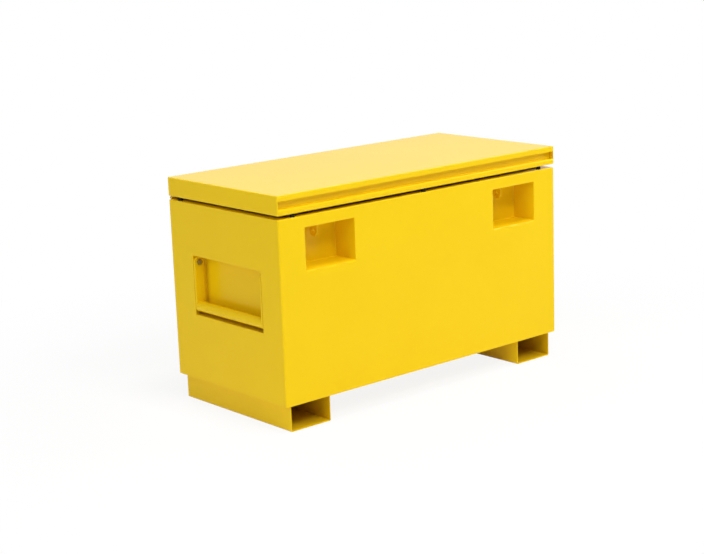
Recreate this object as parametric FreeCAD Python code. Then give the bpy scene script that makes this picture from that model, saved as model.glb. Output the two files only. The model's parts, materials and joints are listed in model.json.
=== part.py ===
import FreeCAD, Part
import math
import os

from FreeCAD import Vector

# Steel jobsite storage box: a folded sheet body on two fork skids, a hinged lid with lock
# tabs, a drop handle in a pan at each end, and two gas struts. Millimetres, +Z up, front
# face towards -Y, origin on the ground under the middle of the box.

# ---- body -------------------------------------------------------------------------------
LENGTH = 1220.0
DEPTH = 574.0
BODY_HEIGHT = 588.0
SHEET = 2.0
CORNER_BEND = 5.0
RIM_BEND = 3.0
RIM_FLANGE = 32.0
REAR_FLANGE = 30.0
FLOOR_UPSTAND = 25.0

# ---- skids ------------------------------------------------------------------------------
SKID_HEIGHT = 86.0
SKID_WIDTH = 160.0
SKID_WALL = 3.0
SKID_BEND = 4.0
SKID_END_INSET = 23.0
SKID_SETBACK = 11.0

# ---- lid --------------------------------------------------------------------------------
LID_GAP = 12.0
LID_HEIGHT = 62.0
LID_BEND = 3.0
LOWER_STRIP = 18.5
GROOVE_HEIGHT = 26.0
GROOVE_DEPTH = 17.0
STIFFENER_SPACING = 400.0
STIFFENER_CROWN = 44.0
STIFFENER_FOOT = 16.0
STIFFENER_DEPTH = 20.0
STIFFENER_SHEET = 1.5

# ---- rim bumpers ------------------------------------------------------------------------
BUMPER_RADIUS = 8.0
BUMPER_FILLET = 2.0
BUMPER_INSET = 13.0
BUMPER_END_DISTANCE = 65.0
BUMPER_REAR_DISTANCE = 47.0

# ---- piano hinge ------------------------------------------------------------------------
HINGE_END_GAP = 5.0
KNUCKLE_COUNT = 20
KNUCKLE_RADIUS = 5.0
HINGE_PIN_RADIUS = 2.5
LEAF_WIDTH = 24.0
LEAF_SHEET = 1.6

# ---- lock pockets and lock tabs ---------------------------------------------------------
POCKET_WIDTH = 200.0
POCKET_HEIGHT = 135.0
POCKET_DEPTH = 96.0
POCKET_END_DISTANCE = 102.0
POCKET_TOP_DISTANCE = 37.0
TAB_THICKNESS = 6.0
TAB_WIDTH = 36.0
TAB_FRONT_DISTANCE = 51.0
TAB_DROP = 49.5
TAB_CORNER = 16.0
TAB_OFFSET = -9.0
TAB_HOLE_RADIUS = 7.0
TAB_HOLE_RISE = 18.0
TAB_FOOT_WIDTH = 50.0
TAB_FOOT_SHEET = 4.0
SLOT_CLEARANCE = 3.0
SLOT_SWING_ROOM = 12.0

# ---- handle pans and drop handles -------------------------------------------------------
PAN_WIDTH = 358.0
PAN_HEIGHT = 197.0
PAN_DEPTH = 50.0
PAN_REAR_DISTANCE = 116.0
PAN_TOP_DISTANCE = 171.0
ARM_THICKNESS = 7.0
ARM_WIDTH = 36.0
ARM_SIDE_GAP = 2.0
ARM_FACE_INSET = 0.6
HANDLE_DROP = 148.0
PIVOT_TOP_DISTANCE = 23.0
GRIP_RADIUS = 17.0
GRIP_WALL = 2.5
WELD_SIZE = 3.5

# ---- handle pivot hardware --------------------------------------------------------------
BOLT_RADIUS = 5.0
BOLT_HEAD_FLATS = 17.0
BOLT_HEAD_HEIGHT = 6.4
BOLT_TAIL = 3.0
NUT_HEIGHT = 8.0
WASHER_RADIUS = 10.0
WASHER_THICKNESS = 1.6

# ---- gas struts -------------------------------------------------------------------------
STRUT_PIVOT_REACH = 320.0
STRUT_BODY_ANGLE = 66.0
STRUT_LID_ANGLE = 4.0
STRUT_STANDOFF = 15.0
STRUT_TUBE_RADIUS = 9.0
STRUT_TUBE_WALL = 1.0
STRUT_TUBE_END = 3.0
STRUT_GLAND_LENGTH = 20.0
STRUT_ROD_RADIUS = 4.0
STRUT_ROD_SHOWING = 5.0
STRUT_PISTON_LENGTH = 10.0
STRUT_EYE_REACH = 22.0
STRUT_EYE_RADIUS = 8.0
STRUT_EYE_WIDTH = 12.0
STRUT_NECK_RADIUS = 5.0
STRUT_STUD_RADIUS = 4.0
STRUT_CLIP_RADIUS = 7.0
STRUT_CLIP_THICKNESS = 2.0
BRACKET_SHEET = 3.0
BRACKET_WIDTH = 34.0
BRACKET_MARGIN = 14.0
BRACKET_CORNER = 6.0

# ---- fits -------------------------------------------------------------------------------
RUNNING_FIT = 0.06
HARDWARE_FIT = 0.3
FACE_CLEARANCE = 0.3
KNUCKLE_CLEARANCE = 0.5
SMALL_FILLET = 1.0
BEYOND = 5.0
TOLERANCE = 1e-6

# ---- places that follow from the sizes above --------------------------------------------
HALF_LENGTH = LENGTH / 2
FRONT = -DEPTH / 2
REAR = DEPTH / 2
BODY_BOTTOM = SKID_HEIGHT
BODY_TOP = BODY_BOTTOM + BODY_HEIGHT
LID_BOTTOM = BODY_TOP + LID_GAP
LID_TOP = LID_BOTTOM + LID_HEIGHT
GROOVE_BOTTOM = LID_BOTTOM + LOWER_STRIP
GROOVE_TOP = GROOVE_BOTTOM + GROOVE_HEIGHT
HINGE_LENGTH = LENGTH - 2 * HINGE_END_GAP
HINGE_Y = REAR - KNUCKLE_RADIUS
HINGE_Z = BODY_TOP + LID_GAP / 2
POCKET_TOP = BODY_TOP - POCKET_TOP_DISTANCE
POCKET_BOTTOM = POCKET_TOP - POCKET_HEIGHT
POCKET_BACK = FRONT + POCKET_DEPTH
TAB_BOTTOM = POCKET_TOP - TAB_DROP
TAB_FRONT = FRONT + TAB_FRONT_DISTANCE
TAB_REAR = TAB_FRONT + TAB_WIDTH
PAN_REAR = REAR - PAN_REAR_DISTANCE
PAN_FRONT = PAN_REAR - PAN_WIDTH
PAN_TOP = BODY_TOP - PAN_TOP_DISTANCE
PAN_BOTTOM = PAN_TOP - PAN_HEIGHT
PAN_BACK = HALF_LENGTH - PAN_DEPTH
PIVOT_X = HALF_LENGTH - ARM_FACE_INSET - ARM_WIDTH / 2
PIVOT_Z = PAN_TOP - PIVOT_TOP_DISTANCE
GRIP_Z = PIVOT_Z - HANDLE_DROP
ARM_FRONT_FACE = PAN_FRONT + ARM_SIDE_GAP + ARM_THICKNESS
ARM_REAR_FACE = PAN_REAR - ARM_SIDE_GAP - ARM_THICKNESS
BRACKET_FACE = SHEET - PAN_BACK
STRUT_X = PAN_BACK - SHEET - STRUT_STANDOFF


def box(x0, x1, y0, y1, z0, z1):
    """Box between two corners."""
    return Part.makeBox(x1 - x0, y1 - y0, z1 - z0, Vector(x0, y0, z0))


def cylinder_along(radius, start, direction, length):
    """Round bar of a given length from a start point."""
    return Part.makeCylinder(radius, length, start, direction)


def mirrored(shape):
    """Copy of a shape on the other side of the plane x = 0."""
    return shape.mirror(Vector(0, 0, 0), Vector(1, 0, 0))


def rounded_wire(corners):
    """Closed wire through (point, radius) corners, each corner rounded by its radius."""
    bends = []
    for index, (here, radius) in enumerate(corners):
        back = (corners[index - 1][0] - here).normalize()
        ahead = (corners[(index + 1) % len(corners)][0] - here).normalize()
        half_angle = back.getAngle(ahead) / 2
        reach = radius / math.tan(half_angle)
        inward = (back + ahead).normalize()
        crown = here + inward * (radius / math.sin(half_angle) - radius)
        bends.append((here + back * reach, crown, here + ahead * reach, radius))
    edges = []
    for index, (start, crown, end, radius) in enumerate(bends):
        if radius > 0:
            edges.append(Part.Arc(start, crown, end).toShape())
        following = bends[(index + 1) % len(bends)][0]
        if end.distanceToPoint(following) > TOLERANCE:
            edges.append(Part.LineSegment(end, following).toShape())
    return Part.Wire(edges)


def prism(corners, direction):
    """Solid made by pushing a rounded outline along a direction."""
    return Part.Face(rounded_wire(corners)).extrude(direction)


def is_vertical(edge):
    """True for a straight edge along Z."""
    return abs(edge.BoundBox.ZLength - edge.Length) < TOLERANCE


def edges_at_height(shape, height):
    """Edges that lie wholly at one height."""
    found = []
    for edge in shape.Edges:
        bounds = edge.BoundBox
        if abs(bounds.ZMin - height) < TOLERANCE and abs(bounds.ZMax - height) < TOLERANCE:
            found.append(edge)
    return found


# ---- body -------------------------------------------------------------------------------
def body_block(inset, bottom):
    """Body's outer block, moved in by an inset, with its folded corners and rim."""
    top = BODY_TOP - inset
    block = box(-HALF_LENGTH + inset, HALF_LENGTH - inset, FRONT + inset, REAR - inset, bottom, top)
    corners = [edge for edge in block.Edges if is_vertical(edge)]
    block = block.makeFillet(CORNER_BEND - inset, corners)
    return block.makeFillet(RIM_BEND - inset, edges_at_height(block, top))


def body_shell():
    """Four walls with bent corners and an inward rim flange, before they are parted."""
    shell = body_block(0.0, BODY_BOTTOM).cut(body_block(SHEET, BODY_BOTTOM - BEYOND))
    mouth = box(
        RIM_FLANGE - HALF_LENGTH, HALF_LENGTH - RIM_FLANGE,
        FRONT + RIM_FLANGE, REAR - REAR_FLANGE,
        BODY_TOP - RIM_BEND, BODY_TOP + BEYOND,
    )
    return shell.cut(mouth)


def wall_slice(y0, y1, x0, x1):
    """The part of the body shell that lies inside a plan rectangle."""
    return body_shell().common(box(x0, x1, y0, y1, BODY_BOTTOM - BEYOND, BODY_TOP + BEYOND))


def pocket_space(near_face, far_face):
    """Left lock pocket's rectangular space between two depths."""
    left = POCKET_END_DISTANCE - HALF_LENGTH
    return box(left, left + POCKET_WIDTH, near_face, far_face, POCKET_BOTTOM, POCKET_TOP)


def pan_space(outer_face, inner_face):
    """Left handle pan's rectangular space between two distances from the middle."""
    return box(-outer_face, -inner_face, PAN_FRONT, PAN_REAR, PAN_BOTTOM, PAN_TOP)


def front_panel():
    """Front wall with its corner returns, rim flange and two lock pocket apertures."""
    panel = wall_slice(FRONT - BEYOND, FRONT + RIM_FLANGE, -LENGTH, LENGTH)
    aperture = pocket_space(FRONT - BEYOND, FRONT + SHEET + BEYOND)
    return panel.cut(aperture).cut(mirrored(aperture))


def rear_panel():
    """Rear wall with its corner returns and the flange that carries the hinge."""
    return wall_slice(REAR - REAR_FLANGE, REAR + BEYOND, -LENGTH, LENGTH)


def left_end_panel():
    """End wall with its rim flange and the handle pan's aperture."""
    panel = wall_slice(FRONT + RIM_FLANGE, REAR - REAR_FLANGE, -LENGTH, 0)
    return panel.cut(pan_space(HALF_LENGTH + BEYOND, HALF_LENGTH - SHEET - BEYOND))


def floor_panel():
    """Floor tray whose upturned edges are welded inside the walls."""
    inner_length = HALF_LENGTH - SHEET
    inner_front, inner_rear = FRONT + SHEET, REAR - SHEET
    top = BODY_BOTTOM + FLOOR_UPSTAND
    tray = box(-inner_length, inner_length, inner_front, inner_rear, BODY_BOTTOM, top)
    corners = [edge for edge in tray.Edges if is_vertical(edge)]
    tray = tray.makeFillet(CORNER_BEND - SHEET, corners)
    hollow = box(
        SHEET - inner_length, inner_length - SHEET, inner_front + SHEET, inner_rear - SHEET,
        BODY_BOTTOM + SHEET, top + BEYOND,
    )
    return tray.cut(hollow)


# ---- lock pockets -----------------------------------------------------------------------
def tab_plane():
    """Left face of the left lock tab."""
    middle = POCKET_END_DISTANCE - HALF_LENGTH + POCKET_WIDTH / 2
    return middle + TAB_OFFSET - TAB_THICKNESS / 2


def pocket_tray(tab_left):
    """Five-sided tray behind a front aperture, with a slot in its roof for the lock tab."""
    space = pocket_space(FRONT, POCKET_BACK)
    bounds = space.BoundBox
    tray = box(
        bounds.XMin - SHEET, bounds.XMax + SHEET, FRONT + SHEET, POCKET_BACK + SHEET,
        POCKET_BOTTOM - SHEET, POCKET_TOP + SHEET,
    )
    slot = box(
        tab_left - SLOT_CLEARANCE, tab_left + TAB_THICKNESS + SLOT_CLEARANCE,
        TAB_FRONT - SLOT_SWING_ROOM, TAB_REAR + SLOT_CLEARANCE,
        POCKET_TOP - BEYOND, POCKET_TOP + SHEET + BEYOND,
    )
    return tray.cut(space).cut(slot)


def pocket_shift():
    """Distance from the left lock pocket to the right one."""
    return LENGTH - 2 * POCKET_END_DISTANCE - POCKET_WIDTH


# ---- handle pans ------------------------------------------------------------------------
def left_handle_pan():
    """Tray behind the end aperture: a back plate and four walls, drilled for the pivot bolts."""
    mouth = SHEET - HALF_LENGTH
    low, high = PAN_BOTTOM - SHEET, PAN_TOP + SHEET
    plates = [
        box(-PAN_BACK, SHEET - PAN_BACK, PAN_FRONT - SHEET, PAN_REAR + SHEET, low, high),
        box(mouth, -PAN_BACK, PAN_FRONT, PAN_REAR, low, PAN_BOTTOM),
        box(mouth, -PAN_BACK, PAN_FRONT, PAN_REAR, PAN_TOP, high),
        box(mouth, -PAN_BACK, PAN_FRONT - SHEET, PAN_FRONT, low, high),
        box(mouth, -PAN_BACK, PAN_REAR, PAN_REAR + SHEET, low, high),
    ]
    start = Vector(-PIVOT_X, PAN_FRONT - SHEET - BEYOND, PIVOT_Z)
    drill = cylinder_along(BOLT_RADIUS + HARDWARE_FIT, start, Vector(0, 1, 0), PAN_WIDTH + 4 * BEYOND)
    return Part.makeCompound([plate.cut(drill).Solids[0] for plate in plates])


# ---- skids ------------------------------------------------------------------------------
def left_skid():
    """U-channel from front to back that takes a fork tine."""
    outer = SKID_END_INSET - HALF_LENGTH
    inner = outer + SKID_WIDTH
    front = FRONT + SKID_SETBACK
    inside_bend = SKID_BEND - SKID_WALL

    def at(x, z, radius):
        return Vector(x, front, z), radius

    outline = [
        at(outer, SKID_HEIGHT, 0), at(outer, 0, SKID_BEND),
        at(inner, 0, SKID_BEND), at(inner, SKID_HEIGHT, 0),
        at(inner - SKID_WALL, SKID_HEIGHT, 0), at(inner - SKID_WALL, SKID_WALL, inside_bend),
        at(outer + SKID_WALL, SKID_WALL, inside_bend), at(outer + SKID_WALL, SKID_HEIGHT, 0),
    ]
    return prism(outline, Vector(0, DEPTH - 2 * SKID_SETBACK, 0))


# ---- lid --------------------------------------------------------------------------------
def lid_block(inset):
    """Lid's outer block, moved in by an inset, with its folded edges."""
    bottom, top = LID_BOTTOM + inset, LID_TOP - inset
    block = box(-HALF_LENGTH + inset, HALF_LENGTH - inset, FRONT + inset, REAR - inset, bottom, top)
    folds = edges_at_height(block, bottom) + edges_at_height(block, top)
    return block.makeFillet(LID_BEND - inset, folds)


def lid_shell():
    """Lid top with its skirts and return flanges, open where the front pull is welded in."""
    shell = lid_block(0.0).cut(lid_block(SHEET))
    mouth = box(
        RIM_FLANGE - HALF_LENGTH, HALF_LENGTH - RIM_FLANGE,
        FRONT + RIM_FLANGE, REAR - REAR_FLANGE,
        LID_BOTTOM - BEYOND, LID_BOTTOM + LID_BEND,
    )
    inner_length = HALF_LENGTH - SHEET
    front_gap = box(
        -inner_length, inner_length, FRONT - BEYOND, FRONT + SHEET,
        LID_BOTTOM - BEYOND, GROOVE_TOP,
    )
    flange_gap = box(
        -inner_length, inner_length, FRONT - BEYOND, FRONT + RIM_FLANGE,
        LID_BOTTOM - BEYOND, LID_BOTTOM + LID_BEND,
    )
    shell = shell.cut(mouth).cut(front_gap).cut(flange_gap)
    lip = [edge for edge in edges_at_height(shell, GROOVE_TOP) if abs(edge.BoundBox.YMax - FRONT) < TOLERANCE]
    return shell.makeFillet(SMALL_FILLET, lip)


def lid_front_pull():
    """Folded strip along the lid's front, with the recessed finger groove."""
    start = SHEET - HALF_LENGTH

    def at(inward, height, radius):
        return Vector(start, FRONT + inward, height), radius

    inside_bend = LID_BEND - SHEET
    outline = [
        at(RIM_FLANGE, LID_BOTTOM, 0), at(0, LID_BOTTOM, LID_BEND),
        at(0, GROOVE_BOTTOM, LID_BEND), at(GROOVE_DEPTH, GROOVE_BOTTOM, inside_bend),
        at(GROOVE_DEPTH, GROOVE_TOP, inside_bend), at(SHEET, GROOVE_TOP, 0),
        at(SHEET, GROOVE_TOP + SHEET, 0), at(GROOVE_DEPTH + SHEET, GROOVE_TOP + SHEET, LID_BEND),
        at(GROOVE_DEPTH + SHEET, GROOVE_BOTTOM - SHEET, LID_BEND),
        at(SHEET, GROOVE_BOTTOM - SHEET, inside_bend), at(SHEET, LID_BOTTOM + SHEET, inside_bend),
        at(RIM_FLANGE, LID_BOTTOM + SHEET, 0),
    ]
    return prism(outline, Vector(LENGTH - 2 * SHEET, 0, 0))


def lid_stiffener(middle):
    """Hat channel under the lid top, from the front pull to the rear skirt."""
    front = FRONT + GROOVE_DEPTH + SHEET
    top = LID_TOP - SHEET
    crown = STIFFENER_CROWN / 2
    wing = crown + STIFFENER_FOOT
    low = top - STIFFENER_DEPTH
    thin = STIFFENER_SHEET

    def at(x, z):
        return Vector(middle + x, front, z), 0

    outline = [
        at(-wing, top), at(-wing, top - thin), at(-crown, top - thin), at(-crown, low), at(crown, low),
        at(crown, top - thin), at(wing, top - thin), at(wing, top), at(crown - thin, top),
        at(crown - thin, low + thin), at(thin - crown, low + thin), at(thin - crown, top),
    ]
    return prism(outline, Vector(0, REAR - LID_BEND - front, 0))


def lock_tab(left_face):
    """Drilled lock tab that hangs from a foot under the lid top into its pocket."""
    top = LID_TOP - SHEET

    def at(y, z, radius):
        return Vector(left_face, y, z), radius

    plate = prism(
        [at(TAB_FRONT, top, 0), at(TAB_FRONT, TAB_BOTTOM, TAB_CORNER),
         at(TAB_REAR, TAB_BOTTOM, TAB_CORNER), at(TAB_REAR, top, 0)],
        Vector(TAB_THICKNESS, 0, 0),
    )
    middle = left_face + TAB_THICKNESS / 2
    foot = box(
        middle - TAB_FOOT_WIDTH / 2, middle + TAB_FOOT_WIDTH / 2, TAB_FRONT, TAB_REAR,
        top - TAB_FOOT_SHEET, top,
    )
    hole_start = Vector(left_face - BEYOND, (TAB_FRONT + TAB_REAR) / 2, TAB_BOTTOM + TAB_HOLE_RISE)
    hole = cylinder_along(TAB_HOLE_RADIUS, hole_start, Vector(1, 0, 0), TAB_THICKNESS + 2 * BEYOND)
    return plate.fuse(foot).cut(hole).removeSplitter()


# ---- bumpers and hinge ------------------------------------------------------------------
def rim_bumper(x, y):
    """Round bumper on the rim that stops just under the shut lid."""
    height = LID_GAP - FACE_CLEARANCE
    bumper = cylinder_along(BUMPER_RADIUS, Vector(x, y, BODY_TOP), Vector(0, 0, 1), height)
    return bumper.makeFillet(BUMPER_FILLET, edges_at_height(bumper, BODY_TOP + height))


def rim_bumpers():
    """Three bumpers along the front and one near the rear of each end."""
    front = FRONT + BUMPER_INSET
    on_the_left = [
        rim_bumper(BUMPER_END_DISTANCE - HALF_LENGTH, front),
        rim_bumper(BUMPER_INSET - HALF_LENGTH, REAR - BUMPER_REAR_DISTANCE),
    ]
    return Part.makeCompound([rim_bumper(0.0, front), *group(on_the_left).Solids])


def hinge_leaf(low, first_knuckle):
    """Hinge leaf that starts at a height, with every other knuckle of the hinge."""
    high = low + LEAF_SHEET
    pitch = HINGE_LENGTH / KNUCKLE_COUNT
    knuckle_length = pitch - KNUCKLE_CLEARANCE
    left = -HINGE_LENGTH / 2
    plate_rear = HINGE_Y - KNUCKLE_RADIUS - KNUCKLE_CLEARANCE
    plate = box(left, left + HINGE_LENGTH, HINGE_Y - LEAF_WIDTH, plate_rear, low, high)
    pieces = []
    for number in range(first_knuckle, KNUCKLE_COUNT, 2):
        start = left + number * pitch + KNUCKLE_CLEARANCE / 2
        barrel_start = Vector(start, HINGE_Y, HINGE_Z)
        pieces.append(cylinder_along(KNUCKLE_RADIUS, barrel_start, Vector(1, 0, 0), knuckle_length))
        pieces.append(box(start, start + knuckle_length, plate_rear, HINGE_Y, low, high))
    bore_start = Vector(left - BEYOND, HINGE_Y, HINGE_Z)
    bore = cylinder_along(
        HINGE_PIN_RADIUS + RUNNING_FIT, bore_start, Vector(1, 0, 0), HINGE_LENGTH + 2 * BEYOND
    )
    return plate.multiFuse(pieces).cut(bore).removeSplitter()


def hinge_pin():
    """Steel wire through all the knuckles."""
    start = Vector(-HINGE_LENGTH / 2, HINGE_Y, HINGE_Z)
    return cylinder_along(HINGE_PIN_RADIUS, start, Vector(1, 0, 0), HINGE_LENGTH)


# ---- drop handle ------------------------------------------------------------------------
def handle_arm(inner_face, outward):
    """Flat arm with round ends between the pivot bolt and the grip tube."""
    outer_face = inner_face + outward * ARM_THICKNESS
    y0 = min(inner_face, outer_face)
    half = ARM_WIDTH / 2
    low, high = GRIP_Z - half, PIVOT_Z + half
    outline = [
        (Vector(-PIVOT_X - half, y0, low), half), (Vector(-PIVOT_X + half, y0, low), half),
        (Vector(-PIVOT_X + half, y0, high), half), (Vector(-PIVOT_X - half, y0, high), half),
    ]
    arm = prism(outline, Vector(0, ARM_THICKNESS, 0))
    hole_start = Vector(-PIVOT_X, y0 - BEYOND, PIVOT_Z)
    hole = cylinder_along(BOLT_RADIUS + RUNNING_FIT, hole_start, Vector(0, 1, 0), ARM_THICKNESS + 2 * BEYOND)
    return arm.cut(hole)


def left_handle_grip():
    """Grip tube between the arms, with a weld bead at each end."""
    length = ARM_REAR_FACE - ARM_FRONT_FACE
    start = Vector(-PIVOT_X, ARM_FRONT_FACE, GRIP_Z)
    along = Vector(0, 1, 0)
    bead_radius = min(GRIP_RADIUS + WELD_SIZE, ARM_WIDTH / 2 - FACE_CLEARANCE)
    bead = Part.makeCone(bead_radius, GRIP_RADIUS, WELD_SIZE, start, along)
    end = start + along * length
    far_bead = Part.makeCone(bead_radius, GRIP_RADIUS, WELD_SIZE, end, along * -1)
    tube = cylinder_along(GRIP_RADIUS, start, along, length)
    bore = cylinder_along(GRIP_RADIUS - GRIP_WALL, start - along * BEYOND, along, length + 2 * BEYOND)
    return tube.multiFuse([bead, far_bead]).cut(bore).removeSplitter()


# ---- handle pivot hardware --------------------------------------------------------------
def hexagon(flats, start, direction, height):
    """Hexagonal prism of a given width across its flats, on an axis along Y."""
    radius = flats / math.sqrt(3)
    corners = []
    for number in range(6):
        angle = math.radians(60 * number)
        offset = Vector(radius * math.cos(angle), 0, radius * math.sin(angle))
        corners.append((start + offset, 0))
    return prism(corners, direction * height)


def pivot_ends():
    """Inner arm face and outward direction at the front and rear of the left pan."""
    return [(ARM_FRONT_FACE, -1), (ARM_REAR_FACE, 1)]


def left_pivot_bolts():
    """Hexagon bolts whose heads bear on the arms' inner faces."""
    bolts = []
    shank = FACE_CLEARANCE + ARM_THICKNESS + ARM_SIDE_GAP + SHEET + NUT_HEIGHT + BOLT_TAIL
    for face, outward in pivot_ends():
        along = Vector(0, outward, 0)
        seat = Vector(-PIVOT_X, face - outward * FACE_CLEARANCE, PIVOT_Z)
        head = hexagon(BOLT_HEAD_FLATS, seat, along * -1, BOLT_HEAD_HEIGHT)
        bolts.append(head.fuse(cylinder_along(BOLT_RADIUS, seat, along, shank)).removeSplitter())
    return bolts


def left_pivot_washers():
    """Washers that keep the arms off the pan's side walls."""
    washers = []
    for face, outward in pivot_ends():
        along = Vector(0, outward, 0)
        play = ARM_SIDE_GAP - WASHER_THICKNESS
        start = Vector(-PIVOT_X, face + outward * (ARM_THICKNESS + play), PIVOT_Z)
        disc = cylinder_along(WASHER_RADIUS, start, along, WASHER_THICKNESS)
        bore = cylinder_along(
            BOLT_RADIUS + HARDWARE_FIT, start - along * BEYOND, along, WASHER_THICKNESS + 2 * BEYOND
        )
        washers.append(disc.cut(bore))
    return washers


def left_pivot_nuts():
    """Nuts behind the pan's side walls, inside the box."""
    nuts = []
    for face, outward in pivot_ends():
        along = Vector(0, outward, 0)
        start = Vector(-PIVOT_X, face + outward * (ARM_THICKNESS + ARM_SIDE_GAP + SHEET), PIVOT_Z)
        nut = hexagon(BOLT_HEAD_FLATS, start, along, NUT_HEIGHT)
        bore_start = start - along * BEYOND
        bore = cylinder_along(BOLT_RADIUS + RUNNING_FIT, bore_start, along, NUT_HEIGHT + 2 * BEYOND)
        nuts.append(nut.cut(bore))
    return nuts


# ---- gas struts -------------------------------------------------------------------------
def strut_pivots():
    """Body and lid pivots of the left strut, both equally far from the lid's hinge axis."""
    body_angle = math.radians(STRUT_BODY_ANGLE)
    lid_angle = math.radians(STRUT_LID_ANGLE)
    hinge = Vector(-STRUT_X, HINGE_Y, HINGE_Z)
    body_pivot = hinge + Vector(0, -math.cos(body_angle), -math.sin(body_angle)) * STRUT_PIVOT_REACH
    lid_pivot = hinge + Vector(0, -math.cos(lid_angle), math.sin(lid_angle)) * STRUT_PIVOT_REACH
    return body_pivot, lid_pivot


def strut_length():
    """Distance between the strut's pivots with the lid shut."""
    body_pivot, lid_pivot = strut_pivots()
    return (lid_pivot - body_pivot).Length


def along_strut(shape):
    """Lay a shape made along +Z from the body pivot onto the shut strut's line."""
    body_pivot, lid_pivot = strut_pivots()
    line = lid_pivot - body_pivot
    lean = math.degrees(math.atan2(-line.y, line.z))
    laid = shape.copy()
    laid.rotate(Vector(0, 0, 0), Vector(1, 0, 0), lean)
    laid.translate(body_pivot)
    return laid


def strut_cylinder():
    """Pressure tube with a closed foot and a thick gland that guides the rod."""
    foot = STRUT_EYE_REACH
    top = strut_length() - STRUT_EYE_REACH - STRUT_ROD_SHOWING
    up = Vector(0, 0, 1)
    tube = cylinder_along(STRUT_TUBE_RADIUS, up * foot, up, top - foot)
    tube = tube.makeFillet(SMALL_FILLET, edges_at_height(tube, foot) + edges_at_height(tube, top))
    hollow_start = foot + STRUT_TUBE_END
    hollow_length = top - STRUT_GLAND_LENGTH - hollow_start
    hollow = cylinder_along(STRUT_TUBE_RADIUS - STRUT_TUBE_WALL, up * hollow_start, up, hollow_length)
    guide = cylinder_along(STRUT_ROD_RADIUS + RUNNING_FIT, up * hollow_start, up, top)
    return along_strut(tube.cut(hollow).cut(guide))


def strut_rod():
    """Polished rod with the piston at its lower end."""
    up = Vector(0, 0, 1)
    low = STRUT_EYE_REACH + STRUT_TUBE_END + FACE_CLEARANCE
    high = strut_length() - STRUT_EYE_REACH
    piston_radius = STRUT_TUBE_RADIUS - STRUT_TUBE_WALL - FACE_CLEARANCE
    piston = cylinder_along(piston_radius, up * low, up, STRUT_PISTON_LENGTH)
    rod = cylinder_along(STRUT_ROD_RADIUS, up * low, up, high - low)
    return along_strut(rod.fuse(piston).removeSplitter())


def strut_eye(centre, towards):
    """End fitting: a ring on the stud and a neck towards the strut."""
    up = Vector(0, 0, 1)
    half = STRUT_EYE_WIDTH / 2
    ring_start = up * centre + Vector(-half, 0, 0)
    ring = cylinder_along(STRUT_EYE_RADIUS, ring_start, Vector(1, 0, 0), STRUT_EYE_WIDTH)
    neck = cylinder_along(STRUT_NECK_RADIUS, up * centre, up * towards, STRUT_EYE_REACH)
    bore_start = ring_start - Vector(BEYOND, 0, 0)
    bore = cylinder_along(
        STRUT_STUD_RADIUS + RUNNING_FIT, bore_start, Vector(1, 0, 0), STRUT_EYE_WIDTH + 2 * BEYOND
    )
    return along_strut(ring.fuse(neck).cut(bore).removeSplitter())


def bracket_stud(pivot):
    """Stud from a bracket's outboard face through the strut's eye and its clip."""
    stud_end = -STRUT_X + STRUT_EYE_WIDTH / 2 + FACE_CLEARANCE + STRUT_CLIP_THICKNESS
    start = Vector(BRACKET_FACE, pivot.y, pivot.z)
    return cylinder_along(STRUT_STUD_RADIUS, start, Vector(1, 0, 0), stud_end - BRACKET_FACE)


def strut_body_bracket():
    """Plate with a stud, welded on the back of the handle pan."""
    pivot = strut_pivots()[0]
    half = BRACKET_WIDTH / 2

    def at(y, z):
        return Vector(BRACKET_FACE, pivot.y + y, pivot.z + z), BRACKET_CORNER

    sheet = prism(
        [at(-half, -half), at(half, -half), at(half, half), at(-half, half)],
        Vector(BRACKET_SHEET, 0, 0),
    )
    return sheet.fuse(bracket_stud(pivot)).removeSplitter()


def strut_lid_bracket():
    """Angle with a stud, welded under the lid top."""
    pivot = strut_pivots()[1]
    half = BRACKET_WIDTH / 2
    top = LID_TOP - SHEET
    low = pivot.z - BRACKET_MARGIN

    def at(y, z, radius):
        return Vector(BRACKET_FACE, pivot.y + y, z), radius

    sheet = prism(
        [at(-half, low, BRACKET_CORNER), at(half, low, BRACKET_CORNER), at(half, top, 0), at(-half, top, 0)],
        Vector(BRACKET_SHEET, 0, 0),
    )
    foot = box(
        BRACKET_FACE - BRACKET_WIDTH, BRACKET_FACE + BRACKET_SHEET, pivot.y - half, pivot.y + half,
        top - BRACKET_SHEET, top,
    )
    return sheet.multiFuse([foot, bracket_stud(pivot)]).removeSplitter()


def strut_clip(pivot):
    """Spring clip that keeps an eye on its stud."""
    start = Vector(-STRUT_X + STRUT_EYE_WIDTH / 2 + FACE_CLEARANCE, pivot.y, pivot.z)
    disc = cylinder_along(STRUT_CLIP_RADIUS, start, Vector(1, 0, 0), STRUT_CLIP_THICKNESS)
    bore_start = start - Vector(BEYOND, 0, 0)
    bore = cylinder_along(
        STRUT_STUD_RADIUS + RUNNING_FIT, bore_start, Vector(1, 0, 0), STRUT_CLIP_THICKNESS + 2 * BEYOND
    )
    return disc.cut(bore)


def both_sides(name, shape):
    """A left piece and its mirror image as two nodes."""
    return {f"left_{name}": shape, f"right_{name}": mirrored(shape)}


def group(solids):
    """Left solids and their mirror images as one node."""
    return Part.makeCompound(solids + [mirrored(solid) for solid in solids])


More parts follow.
